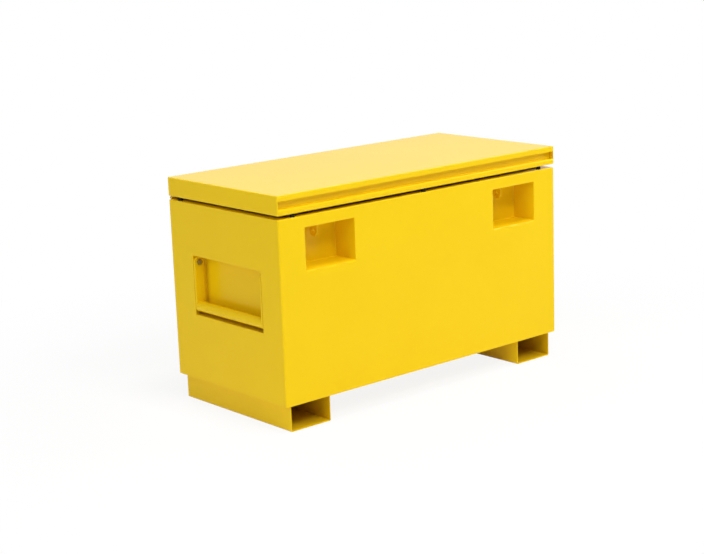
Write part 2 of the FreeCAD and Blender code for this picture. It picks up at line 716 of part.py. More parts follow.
def all_nodes():
    """Every node of the box by name."""
    shift = Vector(pocket_shift(), 0, 0)
    tab_left = tab_plane()
    body_pivot, lid_pivot = strut_pivots()
    nodes = {
        "front_panel": front_panel(),
        "rear_panel": rear_panel(),
        "floor_panel": floor_panel(),
        "left_lock_pocket": pocket_tray(tab_left),
        "right_lock_pocket": pocket_tray(tab_left).translated(shift),
        "rim_bumpers": rim_bumpers(),
        "hinge_leaf_body": hinge_leaf(BODY_TOP, 0),
        "hinge_leaf_lid": hinge_leaf(LID_BOTTOM - LEAF_SHEET, 1),
        "hinge_pin": hinge_pin(),
        "lid_shell": lid_shell(),
        "lid_front_pull": lid_front_pull(),
        "left_lock_tab": lock_tab(tab_left),
        "right_lock_tab": lock_tab(tab_left).translated(shift),
        "handle_pivot_bolts": group(left_pivot_bolts()),
        "handle_pivot_washers": group(left_pivot_washers()),
        "handle_pivot_nuts": group(left_pivot_nuts()),
        "strut_body_clips": group([strut_clip(body_pivot)]),
        "strut_lid_clips": group([strut_clip(lid_pivot)]),
    }
    nodes.update(both_sides("end_panel", left_end_panel()))
    nodes.update(both_sides("handle_pan", left_handle_pan()))
    nodes.update(both_sides("skid", left_skid()))
    nodes.update(both_sides("lid_stiffener", lid_stiffener(-STIFFENER_SPACING / 2)))
    nodes.update(both_sides("handle_front_arm", handle_arm(ARM_FRONT_FACE, -1)))
    nodes.update(both_sides("handle_rear_arm", handle_arm(ARM_REAR_FACE, 1)))
    nodes.update(both_sides("handle_grip", left_handle_grip()))
    nodes.update(both_sides("strut_body_bracket", strut_body_bracket()))
    nodes.update(both_sides("strut_lid_bracket", strut_lid_bracket()))
    nodes.update(both_sides("strut_lower_eye", strut_eye(0.0, 1)))
    nodes.update(both_sides("strut_cylinder", strut_cylinder()))
    nodes.update(both_sides("strut_rod", strut_rod()))
    nodes.update(both_sides("strut_upper_eye", strut_eye(strut_length(), -1)))
    return nodes


def main():
    """Write one STEP file for each node."""
    os.makedirs("parts", exist_ok=True)
    for name, shape in all_nodes().items():
        shape.exportStep(f"parts/{name}.step")


main()
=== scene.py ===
"""Looks of a steel jobsite storage box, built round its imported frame.

Metres, +Z up, front face towards -Y. The box is folded from powder coated sheet, so most pieces
are skins of quads, laid along their bends and then given the sheet's thickness.
"""

import json
import logging
import math
from dataclasses import dataclass
from enum import Enum
from typing import Callable, Iterable, Sequence

import bmesh
import bpy
from mathutils import Matrix, Vector, noise


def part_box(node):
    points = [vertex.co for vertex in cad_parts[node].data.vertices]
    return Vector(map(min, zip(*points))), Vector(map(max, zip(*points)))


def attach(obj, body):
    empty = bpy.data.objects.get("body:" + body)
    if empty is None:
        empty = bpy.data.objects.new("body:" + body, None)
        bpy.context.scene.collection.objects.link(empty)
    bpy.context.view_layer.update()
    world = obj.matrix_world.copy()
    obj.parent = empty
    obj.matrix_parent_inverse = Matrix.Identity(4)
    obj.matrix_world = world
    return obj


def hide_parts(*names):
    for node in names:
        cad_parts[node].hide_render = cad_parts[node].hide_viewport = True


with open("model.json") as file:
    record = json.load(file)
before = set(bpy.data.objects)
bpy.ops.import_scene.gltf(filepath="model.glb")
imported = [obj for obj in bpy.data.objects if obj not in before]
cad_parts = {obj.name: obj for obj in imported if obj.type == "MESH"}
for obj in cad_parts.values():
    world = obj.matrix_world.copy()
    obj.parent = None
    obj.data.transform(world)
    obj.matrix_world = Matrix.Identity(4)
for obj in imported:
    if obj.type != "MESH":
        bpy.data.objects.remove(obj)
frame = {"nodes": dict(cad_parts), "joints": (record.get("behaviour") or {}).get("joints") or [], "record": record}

log = logging.getLogger("storage_box")

Flat = tuple[float, float]
Colour = tuple[float, float, float]
Place = Callable[[float, float, float], Vector]
Skin = bmesh.types.BMesh
Socket = bpy.types.NodeSocket

MM = 0.001
SIDES = {"left": -1.0, "right": 1.0}
SHEET = 2.0 * MM
POCKET_SILL = (6.5 * MM, 4.0 * MM)
PAN_SILL = (4.0 * MM, 3.0 * MM)

# How skins are cut into quads: the longest step, the steps of a bend, and the distance of the
# extra row that keeps the shading of a bend off the flats beside it.
GRID = 20 * MM
BEND_STEPS = 5
SUPPORT = 1.2 * MM

# Points this close are one, an edge this near a face lies on it, and no piece reaches BEYOND.
MERGE = 0.01 * MM
NEAR = 1 * MM
BEYOND = 1.0
DIGITS = 7
SLACK = 1e-6

# Edges: shaded smooth below one angle, rounded as sheared edges above the other.
SMOOTH_BELOW = math.radians(32)
CUT_ABOVE = math.radians(60)
CUT_ROUNDING = 0.6 * MM
RIM_STEPS = 3
MITRE_LIMIT = 0.5

# Noise of the finishes.
PATCH_DETAIL = 3.0
PATCH_STOPS = (0.3, 0.7)
GRAIN_DETAIL = 2.0
WHITE = (1.0, 1.0, 1.0, 1.0)


# ---- node trees ---------------------------------------------------------------------------
class Graph:
    """Writes one node tree: adds nodes with their settings and joins their sockets."""

    def __init__(self, tree: bpy.types.NodeTree) -> None:
        """Keep the tree that the nodes go into."""
        self.tree = tree

    def add(self, kind: str, values: dict | None = None, **settings: object) -> bpy.types.Node:
        """Add one node.

        Args:
            kind: Blender's name for the node's type.
            values: input name or number to a value, or to the socket that feeds it.
            settings: the node's own properties.

        Returns:
            The new node.
        """
        node = self.tree.nodes.new(kind)
        for name, value in settings.items():
            setattr(node, name, value)
        for name, value in (values or {}).items():
            if isinstance(value, Socket):
                self.tree.links.new(value, node.inputs[name])
            else:
                node.inputs[name].default_value = value
        return node

    def calc(self, operation: str, first: object, second: object = 0.0) -> Socket:
        """Result of one sum, named as Blender names it, on values or sockets."""
        node = self.add("ShaderNodeMath", {0: first, 1: second}, operation=operation)
        return node.outputs["Value"]

    def blend(self, place: Socket, scale: float, detail: float, tones: Sequence[Colour],
              stops: Flat = (0.0, 1.0), shape: str = "LINEAR") -> Socket:
        """Colour that noise blends between two tones.

        Args:
            place: coordinates of the noise.
            scale: patches to the metre.
            detail: octaves of the noise.
            tones: the two colours.
            stops: levels of the noise at which each is pure.
            shape: how the ramp runs between them.

        Returns:
            The colour's socket.
        """
        values = {"Vector": place, "Scale": scale, "Detail": detail}
        patches = self.add("ShaderNodeTexNoise", values)
        ramp = self.add("ShaderNodeValToRGB", {"Fac": patches.outputs["Fac"]})
        ramp.color_ramp.interpolation = shape
        for element, tone, stop in zip(ramp.color_ramp.elements, tones, stops):
            element.color = (*tone, 1.0)
            element.position = stop
        return ramp.outputs["Color"]


@dataclass(frozen=True)
class Finish:
    """Surface of one material slot: two tones, a gloss and a fine grain.

    Args:
        slot: name of the record's material slot.
        tones: the two colours that slow patches blend between.
        roughness: 0 for a mirror, 1 for chalk.
        patch: size of the patches of tone.
        grain: size of the grain that breaks up the gloss.
        relief: height of that grain.
        metallic: 1 for bare metal.
        ior: index of refraction of the film.
        shade_tone: darker tone of painted shade, used where the mesh's painted_shade attribute is 1, or None where
            no shade is painted.
    """

    slot: str
    tones: tuple[Colour, Colour]
    roughness: float
    patch: float
    grain: float
    relief: float
    metallic: float = 0.0
    ior: float = 1.45
    shade_tone: Colour | None = None

    def material(self) -> bpy.types.Material:
        """Build the node material, or return it if it is there already.

        Returns:
            The material.
        """
        name = self.slot + "_finish"
        if name in bpy.data.materials:
            return bpy.data.materials[name]
        material = bpy.data.materials.new(name)
        material.use_nodes = True
        graph = Graph(material.node_tree)
        shader = material.node_tree.nodes["Principled BSDF"]
        place = graph.add("ShaderNodeTexCoord").outputs["Object"]
        tone = graph.blend(place, 1 / self.patch, PATCH_DETAIL, self.tones, PATCH_STOPS, "EASE")
        # Painted shade: the tone is mixed towards a darker one where the mesh's attribute marks places in shade.
        if self.shade_tone:
            share = graph.add("ShaderNodeAttribute", attribute_name="painted_shade").outputs["Fac"]
            values = {"Fac": share, "Color1": tone, "Color2": (*self.shade_tone, 1.0)}
            tone = graph.add("ShaderNodeMixRGB", values).outputs["Color"]
        values = {"Vector": place, "Scale": 1 / self.grain, "Detail": GRAIN_DETAIL}
        grain = graph.add("ShaderNodeTexNoise", values)
        height = {"Height": grain.outputs["Fac"], "Distance": self.relief, "Strength": 1.0}
        bump = graph.add("ShaderNodeBump", height)
        shader.inputs["Metallic"].default_value = self.metallic
        shader.inputs["IOR"].default_value = self.ior
        shader.inputs["Roughness"].default_value = self.roughness
        graph.tree.links.new(tone, shader.inputs["Base Color"])
        graph.tree.links.new(bump.outputs["Normal"], shader.inputs["Normal"])
        return material


# The coat's darker tone is painted shade, laid inside the skid tunnels and under the handle grips.
COAT = Finish(
    "yellow_powder_coat", ((0.925, 0.622, 0.004), (0.935, 0.634, 0.005)), 0.24,
    patch=0.30, grain=2.2 * MM, relief=0.003 * MM, ior=1.20, shade_tone=(0.63, 0.40, 0.010),
)
RUBBER = Finish(
    "black_rubber", ((0.008, 0.008, 0.008), (0.014, 0.013, 0.012)), 0.72,
    patch=0.02, grain=0.8 * MM, relief=0.03 * MM, ior=1.3,
)
ZINC = Finish(
    "zinc_plated_steel", ((0.26, 0.24, 0.20), (0.36, 0.33, 0.28)), 0.34,
    patch=0.006, grain=0.5 * MM, relief=0.01 * MM, metallic=1.0,
)
ENAMEL = Finish(
    "black_enamel", ((0.010, 0.010, 0.011), (0.016, 0.016, 0.017)), 0.33,
    patch=0.05, grain=1.0 * MM, relief=0.008 * MM,
)
CHROME = Finish(
    "polished_rod", ((0.72, 0.73, 0.75), (0.78, 0.78, 0.80)), 0.12,
    patch=0.03, grain=0.4 * MM, relief=0.001 * MM, metallic=1.0,
)
NYLON = Finish(
    "black_nylon", ((0.018, 0.018, 0.019), (0.028, 0.028, 0.029)), 0.52,
    patch=0.01, grain=0.6 * MM, relief=0.02 * MM,
)
FINISHES = {finish.slot: finish for finish in (COAT, RUBBER, ZINC, ENAMEL, CHROME, NYLON)}


# ---- skins and solids ---------------------------------------------------------------------
def upright(u: float, v: float, w: float) -> Vector:
    """Place of a part that is made at the origin along +Z."""
    return Vector((u, v, w))


def from_side(a: float, b: float, mark: float) -> Vector:
    """Place of a section that is drawn in X and Z and pushed along Y."""
    return Vector((a, mark, b))


def spread(stops: Iterable[float], spacing: float) -> list[float]:
    """Coordinates through all stops, with even steps between them.

    Args:
        stops: coordinates that must be met.
        spacing: longest step.

    Returns:
        Rising coordinates without repeats.
    """
    marks = sorted(set(round(stop, DIGITS) for stop in stops))
    found = [marks[0]]
    for low, high in zip(marks, marks[1:]):
        steps = max(1, math.ceil((high - low) / spacing - SLACK))
        found += [low + (high - low) * step / steps for step in range(1, steps + 1)]
    return found


def quarter(radius: float, steps: int = BEND_STEPS) -> list[Flat]:
    """Points of a quarter bend as (depth along the first leg left to go, depth into the second)."""
    turns = [math.radians(90 * step / steps) for step in range(steps + 1)]
    return [(radius * (1 - math.sin(turn)), radius * (1 - math.cos(turn))) for turn in turns]


def rounded(
    corners: Sequence[tuple[float, float, float]], steps: int = BEND_STEPS, support: float = SUPPORT
) -> list[Flat]:
    """Open line that follows corners and rounds them.

    Args:
        corners: (a, b, radius) of each corner; the first and the last are the line's ends.
        steps: pieces of each bend.
        support: distance of an extra point before and after each bend, or 0 for none.

    Returns:
        The line's points.
    """
    line: list[Flat] = [corners[0][:2]]
    for before, corner, after in zip(corners, corners[1:], corners[2:]):
        here = Vector(corner[:2])
        back = (Vector(before[:2]) - here).normalized()
        ahead = (Vector(after[:2]) - here).normalized()
        if corner[2] <= 0:
            line.append(tuple(here))
            continue
        half = back.angle(ahead) / 2
        reach = corner[2] / math.tan(half)
        centre = here + (back + ahead).normalized() * (corner[2] / math.sin(half))
        start = here + back * reach - centre
        turn = math.pi - 2 * half
        sign = math.copysign(1.0, start.cross(here + ahead * reach - centre))
        if support:
            line.append(tuple(centre + start + back * support))
        for step in range(steps + 1):
            swing = Matrix.Rotation(sign * turn * step / steps, 2)
            line.append(tuple(centre + swing @ start))
        if support:
            line.append(tuple(here + ahead * (reach + support)))
    line.append(corners[-1][:2])
    return line


def rounded_box(
    low: Flat, high: Flat, radius: float, upper: float | None = None, steps: int = 3
) -> list[Flat]:
    """Outline of a rectangle with rounded corners, anticlockwise.

    Args:
        low, high: its lowest and highest corner.
        radius: of its corners.
        upper: radius of the two upper corners, where it differs.
        steps: pieces of each corner.

    Returns:
        The outline's points.
    """
    upper = upper or radius
    ring = [(*low, radius), (high[0], low[1], radius), (*high, upper), (low[0], high[1], upper)]
    line = rounded([*ring, *ring[:2]], steps, 0.0)[1:-1]
    return [point for index, point in enumerate(line) if math.dist(point, line[index - 1]) > MERGE]


def weave(bm: Skin, rows: Sequence[Sequence[Vector]], closed: bool) -> None:
    """Join rows of points by quads, each row to the next.

    Args:
        bm: mesh that gets the quads.
        rows: rows with as many points each.
        closed: whether a row's last point joins its first.
    """
    made = [[bm.verts.new(point) for point in row] for row in rows]
    count = len(made[0])
    for low, high in zip(made, made[1:]):
        for index in range(count if closed else count - 1):
            after = (index + 1) % count
            bm.faces.new((low[index], low[after], high[after], high[index]))


def tidy(bm: Skin) -> None:
    """Merge coincident points and turn the faces outwards.

    Args:
        bm: the mesh.
    """
    bmesh.ops.remove_doubles(bm, verts=bm.verts, dist=MERGE)
    bmesh.ops.dissolve_degenerate(bm, edges=bm.edges, dist=MERGE)
    bmesh.ops.recalc_face_normals(bm, faces=bm.faces)


def cut_out(bm: Skin, low: Sequence[float], high: Sequence[float]) -> None:
    """Remove the faces whose middle lies in a box.

    Args:
        bm: the mesh.
        low, high: the box's corners.
    """
    inside = [
        face for face in bm.faces
        if all(a < c < b for a, c, b in zip(low, face.calc_center_median(), high))
    ]
    bmesh.ops.delete(bm, geom=inside, context="FACES")


def as_mesh(name: str, bm: Skin) -> bpy.types.Mesh:
    """Write a skin, which is used up, to a mesh.

    Args:
        name: the mesh's name.
        bm: the skin.

    Returns:
        The mesh.
    """
    mesh = bpy.data.meshes.new(name)
    bm.to_mesh(mesh)
    bm.free()
    return mesh


def as_skin(mesh: bpy.types.Mesh) -> Skin:
    """Read a mesh, which is removed, as a skin.

    Args:
        mesh: the mesh.

    Returns:
        The skin.
    """
    bm = bmesh.new()
    bm.from_mesh(mesh)
    bpy.data.meshes.remove(mesh)
    return bm


def bake(obj: bpy.types.Object) -> bpy.types.Mesh:
    """Turn an object's modifiers into a plain mesh and take them off.

    Args:
        obj: the object.

    Returns:
        The new mesh.
    """
    seen = obj.evaluated_get(bpy.context.evaluated_depsgraph_get())
    mesh = bpy.data.meshes.new_from_object(seen)
    obj.modifiers.clear()
    return mesh


def place_object(name: str, mesh: bpy.types.Mesh) -> bpy.types.Object:
    """Link a mesh to the scene at the origin.

    Args:
        name: the object's name.
        mesh: its mesh.

    Returns:
        The object.
    """
    obj = bpy.data.objects.new(name, mesh)
    bpy.context.scene.collection.objects.link(obj)
    return obj


def joined(*parts: Skin) -> Skin:
    """One mesh of several.

    Args:
        parts: the meshes. They are used up.

    Returns:
        The whole.
    """
    whole = bmesh.new()
    for part in parts:
        mesh = as_mesh("joined", part)
        whole.from_mesh(mesh)
        bpy.data.meshes.remove(mesh)
    return whole


def thicken(bm: Skin, sheet: float, outward: bool = False) -> Skin:
    """Give a skin its sheet thickness.

    Args:
        bm: skin. It is used up.
        sheet: thickness.
        outward: whether the metal lies on the side that the skin's faces look to.

    Returns:
        A closed mesh.
    """
    obj = place_object("skin", as_mesh("skin", bm))
    solid = obj.modifiers.new("Sheet", "SOLIDIFY")
    solid.thickness = sheet
    solid.offset = 1.0 if outward else -1.0
    solid.use_even_offset = True
    solid.use_quality_normals = True
    made = as_skin(bake(obj))
    bpy.data.objects.remove(obj)
    tidy(made)
    return made


def soften(
    bm: Skin, radius: float = CUT_ROUNDING, where: Callable[[Vector], bool] = lambda middle: True
) -> None:
    """Round the sharp cut edges of a closed mesh.

    Args:
        bm: the mesh.
        radius: width of the rounding.
        where: says by an edge's middle whether it is rounded.
    """
    sharp = [
        edge for edge in bm.edges
        if len(edge.link_faces) == 2
        and edge.calc_face_angle(0.0) > CUT_ABOVE
        and where((edge.verts[0].co + edge.verts[1].co) / 2)
    ]
    bmesh.ops.bevel(
        bm, geom=sharp, offset=radius, segments=2, profile=0.5, affect="EDGES", clamp_overlap=True
    )


def painted_shade(bm: Skin, share: Callable[[Vector], float]) -> None:
    """Mark painted shade as a vertex attribute that darkens the coat's tone.

    Args:
        bm: the mesh.
        share: gives 0 for no painted shade to 1 for the darkest, by the place.
    """
    layer = bm.verts.layers.float.new("painted_shade")
    for vert in bm.verts:
        vert[layer] = max(0.0, min(1.0, share(vert.co)))


def finish_piece(name: str, bm: Skin, finish: Finish, body: str, *replaced: str) -> None:
    """Make a mesh a finished piece of the box.

    Args:
        name: the piece's name.
        bm: closed mesh in the frame's own place. It is used up.
        finish: its surface.
        body: the body it rides on.
        replaced: the nodes it stands for.
    """
    tidy(bm)
    for face in bm.faces:
        face.smooth = True
    for edge in bm.edges:
        edge.smooth = len(edge.link_faces) == 2 and edge.calc_face_angle(0.0) < SMOOTH_BELOW
    mesh = as_mesh(name, bm)
    obj = place_object(name, mesh)
    level = obj.modifiers.new("Flats", "WEIGHTED_NORMAL")
    level.keep_sharp = True
    obj.data = bake(obj)
    obj.data.name = name
    bpy.data.meshes.remove(mesh)
    obj.data.materials.clear()
    obj.data.materials.append(finish.material())
    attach(obj, body)
    if replaced:
        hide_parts(*replaced)
    log.info("%s rides on %s with %d faces", name, body, len(obj.data.polygons))


def joint_place(name: str) -> Vector:
    """Where a joint of the frame turns."""
    return next(Vector(joint["pos_m"]) for joint in frame["joints"] if joint["name"] == name)


@dataclass
class FoldedPan:
    """Skin of sheet folded round a rectangle.

    Local axes run u and v across the rectangle and w along its walls, from the plate to the mouth.

    Args:
        half_u, half_v: half the rectangle's sides.
        depth: length of the walls.
        corner: radius between the walls.
        plate_bend: radius between walls and plate, or 0 where there is no plate.
        lip_bend: radius between walls and lips, or 0 where there are no lips.
        lips: widths of the lips at -u, +u, -v and +v.
        u_stops, v_stops, w_stops: coordinates that the quads must meet.
    """

    half_u: float
    half_v: float
    depth: float
    corner: float
    plate_bend: float = 0.0
    lip_bend: float = 0.0
    lips: tuple[float, float, float, float] = (0.0, 0.0, 0.0, 0.0)
    u_stops: Sequence[float] = ()
    v_stops: Sequence[float] = ()
    w_stops: Sequence[float] = ()

    def along(self, half: float, stops: Sequence[float]) -> list[float]:
        """Coordinates along one side, between its corners."""
        end = half - self.corner
        return spread([-end, SUPPORT - end, *stops, end - SUPPORT, end], GRID)

    def stations(self) -> list[tuple[Flat, Flat, float]]:
        """Anchors round the rectangle.

        Returns:
            Each anchor with its outward direction and corner radius.
        """
        us = self.along(self.half_u, self.u_stops)
        vs = self.along(self.half_v, self.v_stops)
        sides = (
            ([(u, -self.half_v) for u in us], 1.0, -1.0),
            ([(self.half_u, v) for v in vs], 1.0, 1.0),
            ([(u, self.half_v) for u in reversed(us)], -1.0, 1.0),
            ([(-self.half_u, v) for v in reversed(vs)], -1.0, -1.0),
        )
        found = []
        for number, (anchors, sign_u, sign_v) in enumerate(sides):
            facing = math.radians(90 * number - 90)
            outward = (round(math.cos(facing)), round(math.sin(facing)))
            found += [(anchor, outward, 0.0) for anchor in anchors]
            centre = (sign_u * (self.half_u - self.corner), sign_v * (self.half_v - self.corner))
            for step in range(1, BEND_STEPS):
                turn = facing + math.radians(90 * step / BEND_STEPS)
                found.append((centre, (math.cos(turn), math.sin(turn)), self.corner))
        return found

    def inset(self, station: tuple[Flat, Flat, float], depth: float) -> Flat:
        """A station's point moved in from the outside, kept within the smaller rectangle.

        Args:
            station: anchor, outward direction and corner radius.
            depth: how far it moves.

        Returns:
            The point's (u, v).
        """
        (u, v), (du, dv), radius = station
        limit_u, limit_v = self.half_u - depth, self.half_v - depth
        if depth > radius > 0:
            return math.copysign(limit_u, u), math.copysign(limit_v, v)
        u, v = u + (radius - depth) * du, v + (radius - depth) * dv
        return max(-limit_u, min(limit_u, u)), max(-limit_v, min(limit_v, v))

    def rings(self) -> list[Flat]:
        """Rings of quads from the plate to the mouth.

        Returns:
            (inset, w) of each ring.
        """
        low, high = self.plate_bend, self.depth - self.lip_bend
        rings = quarter(low) if low else []
        stops = [low, high, *self.w_stops]
        stops += [low + SUPPORT] if low else []
        stops += [high - SUPPORT] if self.lip_bend else []
        rings += [(0.0, w) for w in spread(stops, GRID)][1 if low else 0:]
        if self.lip_bend:
            bend = [(inset, self.depth - left) for left, inset in quarter(self.lip_bend)]
            rings += bend[1:] + [(self.lip_bend + SUPPORT, self.depth)]
        return rings

    def skin(self, place: Place) -> Skin:
        """Build the skin.

        Args:
            place: turns (u, v, w) into a point of the frame.

        Returns:
            A mesh without thickness whose faces point outwards.
        """
        bm = bmesh.new()
        stations = self.stations()
        rows = [[place(*self.inset(s, inset), w) for s in stations] for inset, w in self.rings()]
        if self.lip_bend:
            lips = [self.mouth(self.inset(s, self.lip_bend)) for s in stations]
            rows.append([place(*point, self.depth) for point in lips])
        if self.plate_bend:
            flat = [self.inset(s, self.plate_bend + SUPPORT) for s in stations]
            rows.insert(0, [place(*point, 0.0) for point in flat])
        weave(bm, rows, closed=True)
        if self.plate_bend:
            self.fill_plate(bm, place)
        tidy(bm)
        return bm

    def mouth(self, point: Flat) -> Flat:
        """Nearest point of the lips' free edge.

        Args:
            point: (u, v) on the lips.

        Returns:
            (u, v) on their edge.
        """
        at_low_u, at_high_u, at_low_v, at_high_v = self.lips
        u = max(at_low_u - self.half_u, min(self.half_u - at_high_u, point[0]))
        v = max(at_low_v - self.half_v, min(self.half_v - at_high_v, point[1]))
        return u, v

    def fill_plate(self, bm: Skin, place: Place) -> None:
        """Add the plate's quads inside the bends.

        Args:
            bm: the skin.
            place: turns (u, v, w) into a point of the frame.
        """
        edge = self.plate_bend + SUPPORT
        limit_u, limit_v = self.half_u - edge, self.half_v - edge
        us = {max(-limit_u, min(limit_u, u)) for u in self.along(self.half_u, self.u_stops)}
        vs = {max(-limit_v, min(limit_v, v)) for v in self.along(self.half_v, self.v_stops)}
        weave(bm, [[place(u, v, 0.0) for u in sorted(us)] for v in sorted(vs)], closed=False)


def folded_strip(line: Sequence[Flat], ends: Flat, place: Place) -> Skin:
    """Skin of a bent line pushed along a straight axis.

    Args:
        line: the section's points.
        ends: coordinates of the strip's ends along the axis.
        place: turns (a, b, mark) into a point of the frame.

    Returns:
        A mesh without thickness, whose faces look to the side of the metal.
    """
    bm = bmesh.new()
    marks = spread(ends, 2 * GRID)
    weave(bm, [[place(a, b, mark) for a, b in line] for mark in marks], closed=False)
    return bm


def turned(line: Sequence[Flat], place: Place = upright, steps: int = 32) -> Skin:
    """Solid of revolution about the w axis.

    Args:
        line: (radius, w) points; a closed section repeats its first point at its end.
        place: turns (u, v, w) into a point of the frame.
        steps: faces round the axis.

    Returns:
        A closed mesh.
    """
    bm = bmesh.new()
    turns = [math.tau * step / steps for step in range(steps)]
    ring = [(math.cos(turn), math.sin(turn)) for turn in turns]
    rows = [[place(radius * u, radius * v, w) for u, v in ring] for radius, w in line]
    weave(bm, rows, closed=True)
    tidy(bm)
    return bm


def plate(
    outline: Sequence[Flat], thickness: float, place: Place,
    hole: tuple[Flat, float] | None = None, rounding: float = CUT_ROUNDING,
) -> Skin:
    """Flat plate with rounded rims.

    Args:
        outline: points round the plate, anticlockwise.
        thickness: along w, from 0.
        place: turns (u, v, w) into a point of the frame.
        hole: (middle, radius) of a round hole, or None.
        rounding: radius of the rims.

    Returns:
        A closed mesh.
    """
    points = [Vector(point) for point in outline]
    normals = []
    for before, here, after in zip(points[-1:] + points, points, points[1:] + points[:1]):
        ahead = (after - here).normalized()
        along = ((here - before).normalized() + ahead).normalized()
        normals.append(Vector((along.y, -along.x)) / max(MITRE_LIMIT, along.dot(ahead)))
    rim = quarter(rounding, RIM_STEPS)
    section = rim + [(inset, thickness - w) for inset, w in reversed(rim)]
    rows = [[(*(p - n * inset), w) for p, n in zip(points, normals)] for inset, w in section]
    bm = bmesh.new()
    if hole:
        middle, radius = Vector(hole[0]), hole[1]
        away = [(point - middle).normalized() for point in points]
        for inset, w in reversed(section):
            rows.append([(*(middle + a * (radius + inset)), w) for a in away])
        rows.append(rows[0])
    weave(bm, [[place(*point) for point in row] for row in rows], closed=True)
    if not hole:
        for row in (rows[0], rows[-1]):
            bm.faces.new([bm.verts.new(place(*point)) for point in row])
    tidy(bm)
    return bm


# ---- geometry nodes -----------------------------------------------------------------------
class GeometryTree:
    """Geometry Nodes group with named inputs that ends in a plain mesh with a finish."""

    def __init__(self, name: str) -> None:
        """Start the group with its geometry in and out.

        Args:
            name: the group's name.
        """
        self.group = bpy.data.node_groups.new(name, "GeometryNodeTree")
        self.graph = Graph(self.group)
        sockets = self.group.interface
        for way in ("INPUT", "OUTPUT"):
            sockets.new_socket("Geometry", in_out=way, socket_type="NodeSocketGeometry")
        self.source = self.graph.add("NodeGroupInput")

    def ask(self, name: str, kind: str = "Float") -> Socket:
        """Add a named input and return the socket that carries it."""
        self.group.interface.new_socket(name, in_out="INPUT", socket_type="NodeSocket" + kind)
        return self.source.outputs[name]

    def copies(self, points: Socket, **more: Socket) -> Socket:
        """Set copies of an input named Part on points.

        Args:
            points: geometry with the points.
            more: further inputs of the node that sets them.

        Returns:
            The copies.
        """
        part = self.graph.add("GeometryNodeObjectInfo", {"Object": self.ask("Part", "Object")})
        values = {"Points": points, "Instance": part.outputs["Geometry"], **more}
        return self.graph.add("GeometryNodeInstanceOnPoints", values).outputs["Instances"]

    def end(self, geometry: Socket) -> None:
        """Realise the instances, set the finish and close the tree.

        Args:
            geometry: what the tree has made.
        """
        plain = self.graph.add("GeometryNodeRealizeInstances", {"Geometry": geometry})
        values = {"Geometry": plain.outputs["Geometry"], "Material": self.ask("Finish", "Material")}
        dressed = self.graph.add("GeometryNodeSetMaterial", values)
        self.graph.add("NodeGroupOutput", {"Geometry": dressed.outputs["Geometry"]})

    def make(self, name: str, host: bpy.types.Mesh, finish: Finish, body: str, *replaced: str,
             part: Skin | None = None, **values: object) -> None:
        """Run the tree on a mesh and make the result a piece.

        Args:
            name: the piece's name.
            host: mesh that the tree works on.
            finish: the piece's surface.
            body: the body it rides on.
            replaced: the nodes it stands for.
            part: what the tree copies. It is used up.
            values: the tree's other named inputs.
        """
        obj = place_object(name, host)
        values["Finish"] = finish.material()
        if part:
            values["Part"] = place_object("part", as_mesh("part", part))
        modifier = obj.modifiers.new("Rule", "NODES")
        modifier.node_group = self.group
        for item in self.group.interface.items_tree:
            if item.in_out == "INPUT" and item.name in values:
                modifier[item.identifier] = values[item.name]
        made = bake(obj)
        bpy.data.objects.remove(obj)
        if part:
            bpy.data.objects.remove(values["Part"])
        finish_piece(name, as_skin(made), finish, body, *replaced)


class BeadTree(GeometryTree):
    """Weld bead with the ripples of its passes, laid along a mesh's edges."""

    PITCH = 3.2 * MM
    RIPPLE = 0.14
    STEPS_A_PASS = 4
    SECTION_POINTS = 10

    def __init__(self) -> None:
        """Write the tree."""
        super().__init__("weld_bead")
        radius, pitch, ripple = self.ask("Radius"), self.ask("Pitch"), self.ask("Ripple")
        graph = self.graph
        path = graph.add("GeometryNodeMeshToCurve", {"Mesh": self.source.outputs["Geometry"]})
        step = graph.calc("MULTIPLY", pitch, 1 / self.STEPS_A_PASS)
        fine = graph.add(
            "GeometryNodeResampleCurve", {"Curve": path.outputs["Curve"], "Length": step},
            mode="LENGTH",
        )
        length = graph.add("GeometryNodeSplineParameter").outputs["Length"]
        angle = graph.calc("MULTIPLY", graph.calc("DIVIDE", length, pitch), math.tau)
        swing = graph.calc("MULTIPLY", graph.calc("SINE", angle), ripple)
        size = graph.calc("MULTIPLY", graph.calc("ADD", swing, 1.0), radius)
        ring = graph.add(
            "GeometryNodeCurvePrimitiveCircle", {"Resolution": self.SECTION_POINTS, "Radius": 1.0}
        )
        bead = graph.add(
            "GeometryNodeCurveToMesh",
            {"Curve": fine.outputs["Curve"], "Profile Curve": ring.outputs["Curve"], "Scale": size,
             "Fill Caps": True},
        )
        self.end(bead.outputs["Mesh"])

    def lay(self, name: str, paths: Sequence[Sequence[Vector]], body: str, radius: float,
            closed: bool = False) -> None:
        """Lay beads along paths as one piece.

        Args:
            name: the piece's name.
            paths: the points that each bead runs through.
            body: the body it rides on.
            radius: of the beads.
            closed: whether each path ends where it starts.
        """
        points, edges = [], []
        for path in paths:
            first = len(points)
            points += path
            edges += [(first + index, first + index + 1) for index in range(len(path) - 1)]
            if closed:
                edges.append((len(points) - 1, first))
        host = bpy.data.meshes.new(name)
        host.from_pydata(points, edges, [])
        self.make(name, host, COAT, body, Radius=radius, Pitch=self.PITCH, Ripple=self.RIPPLE)


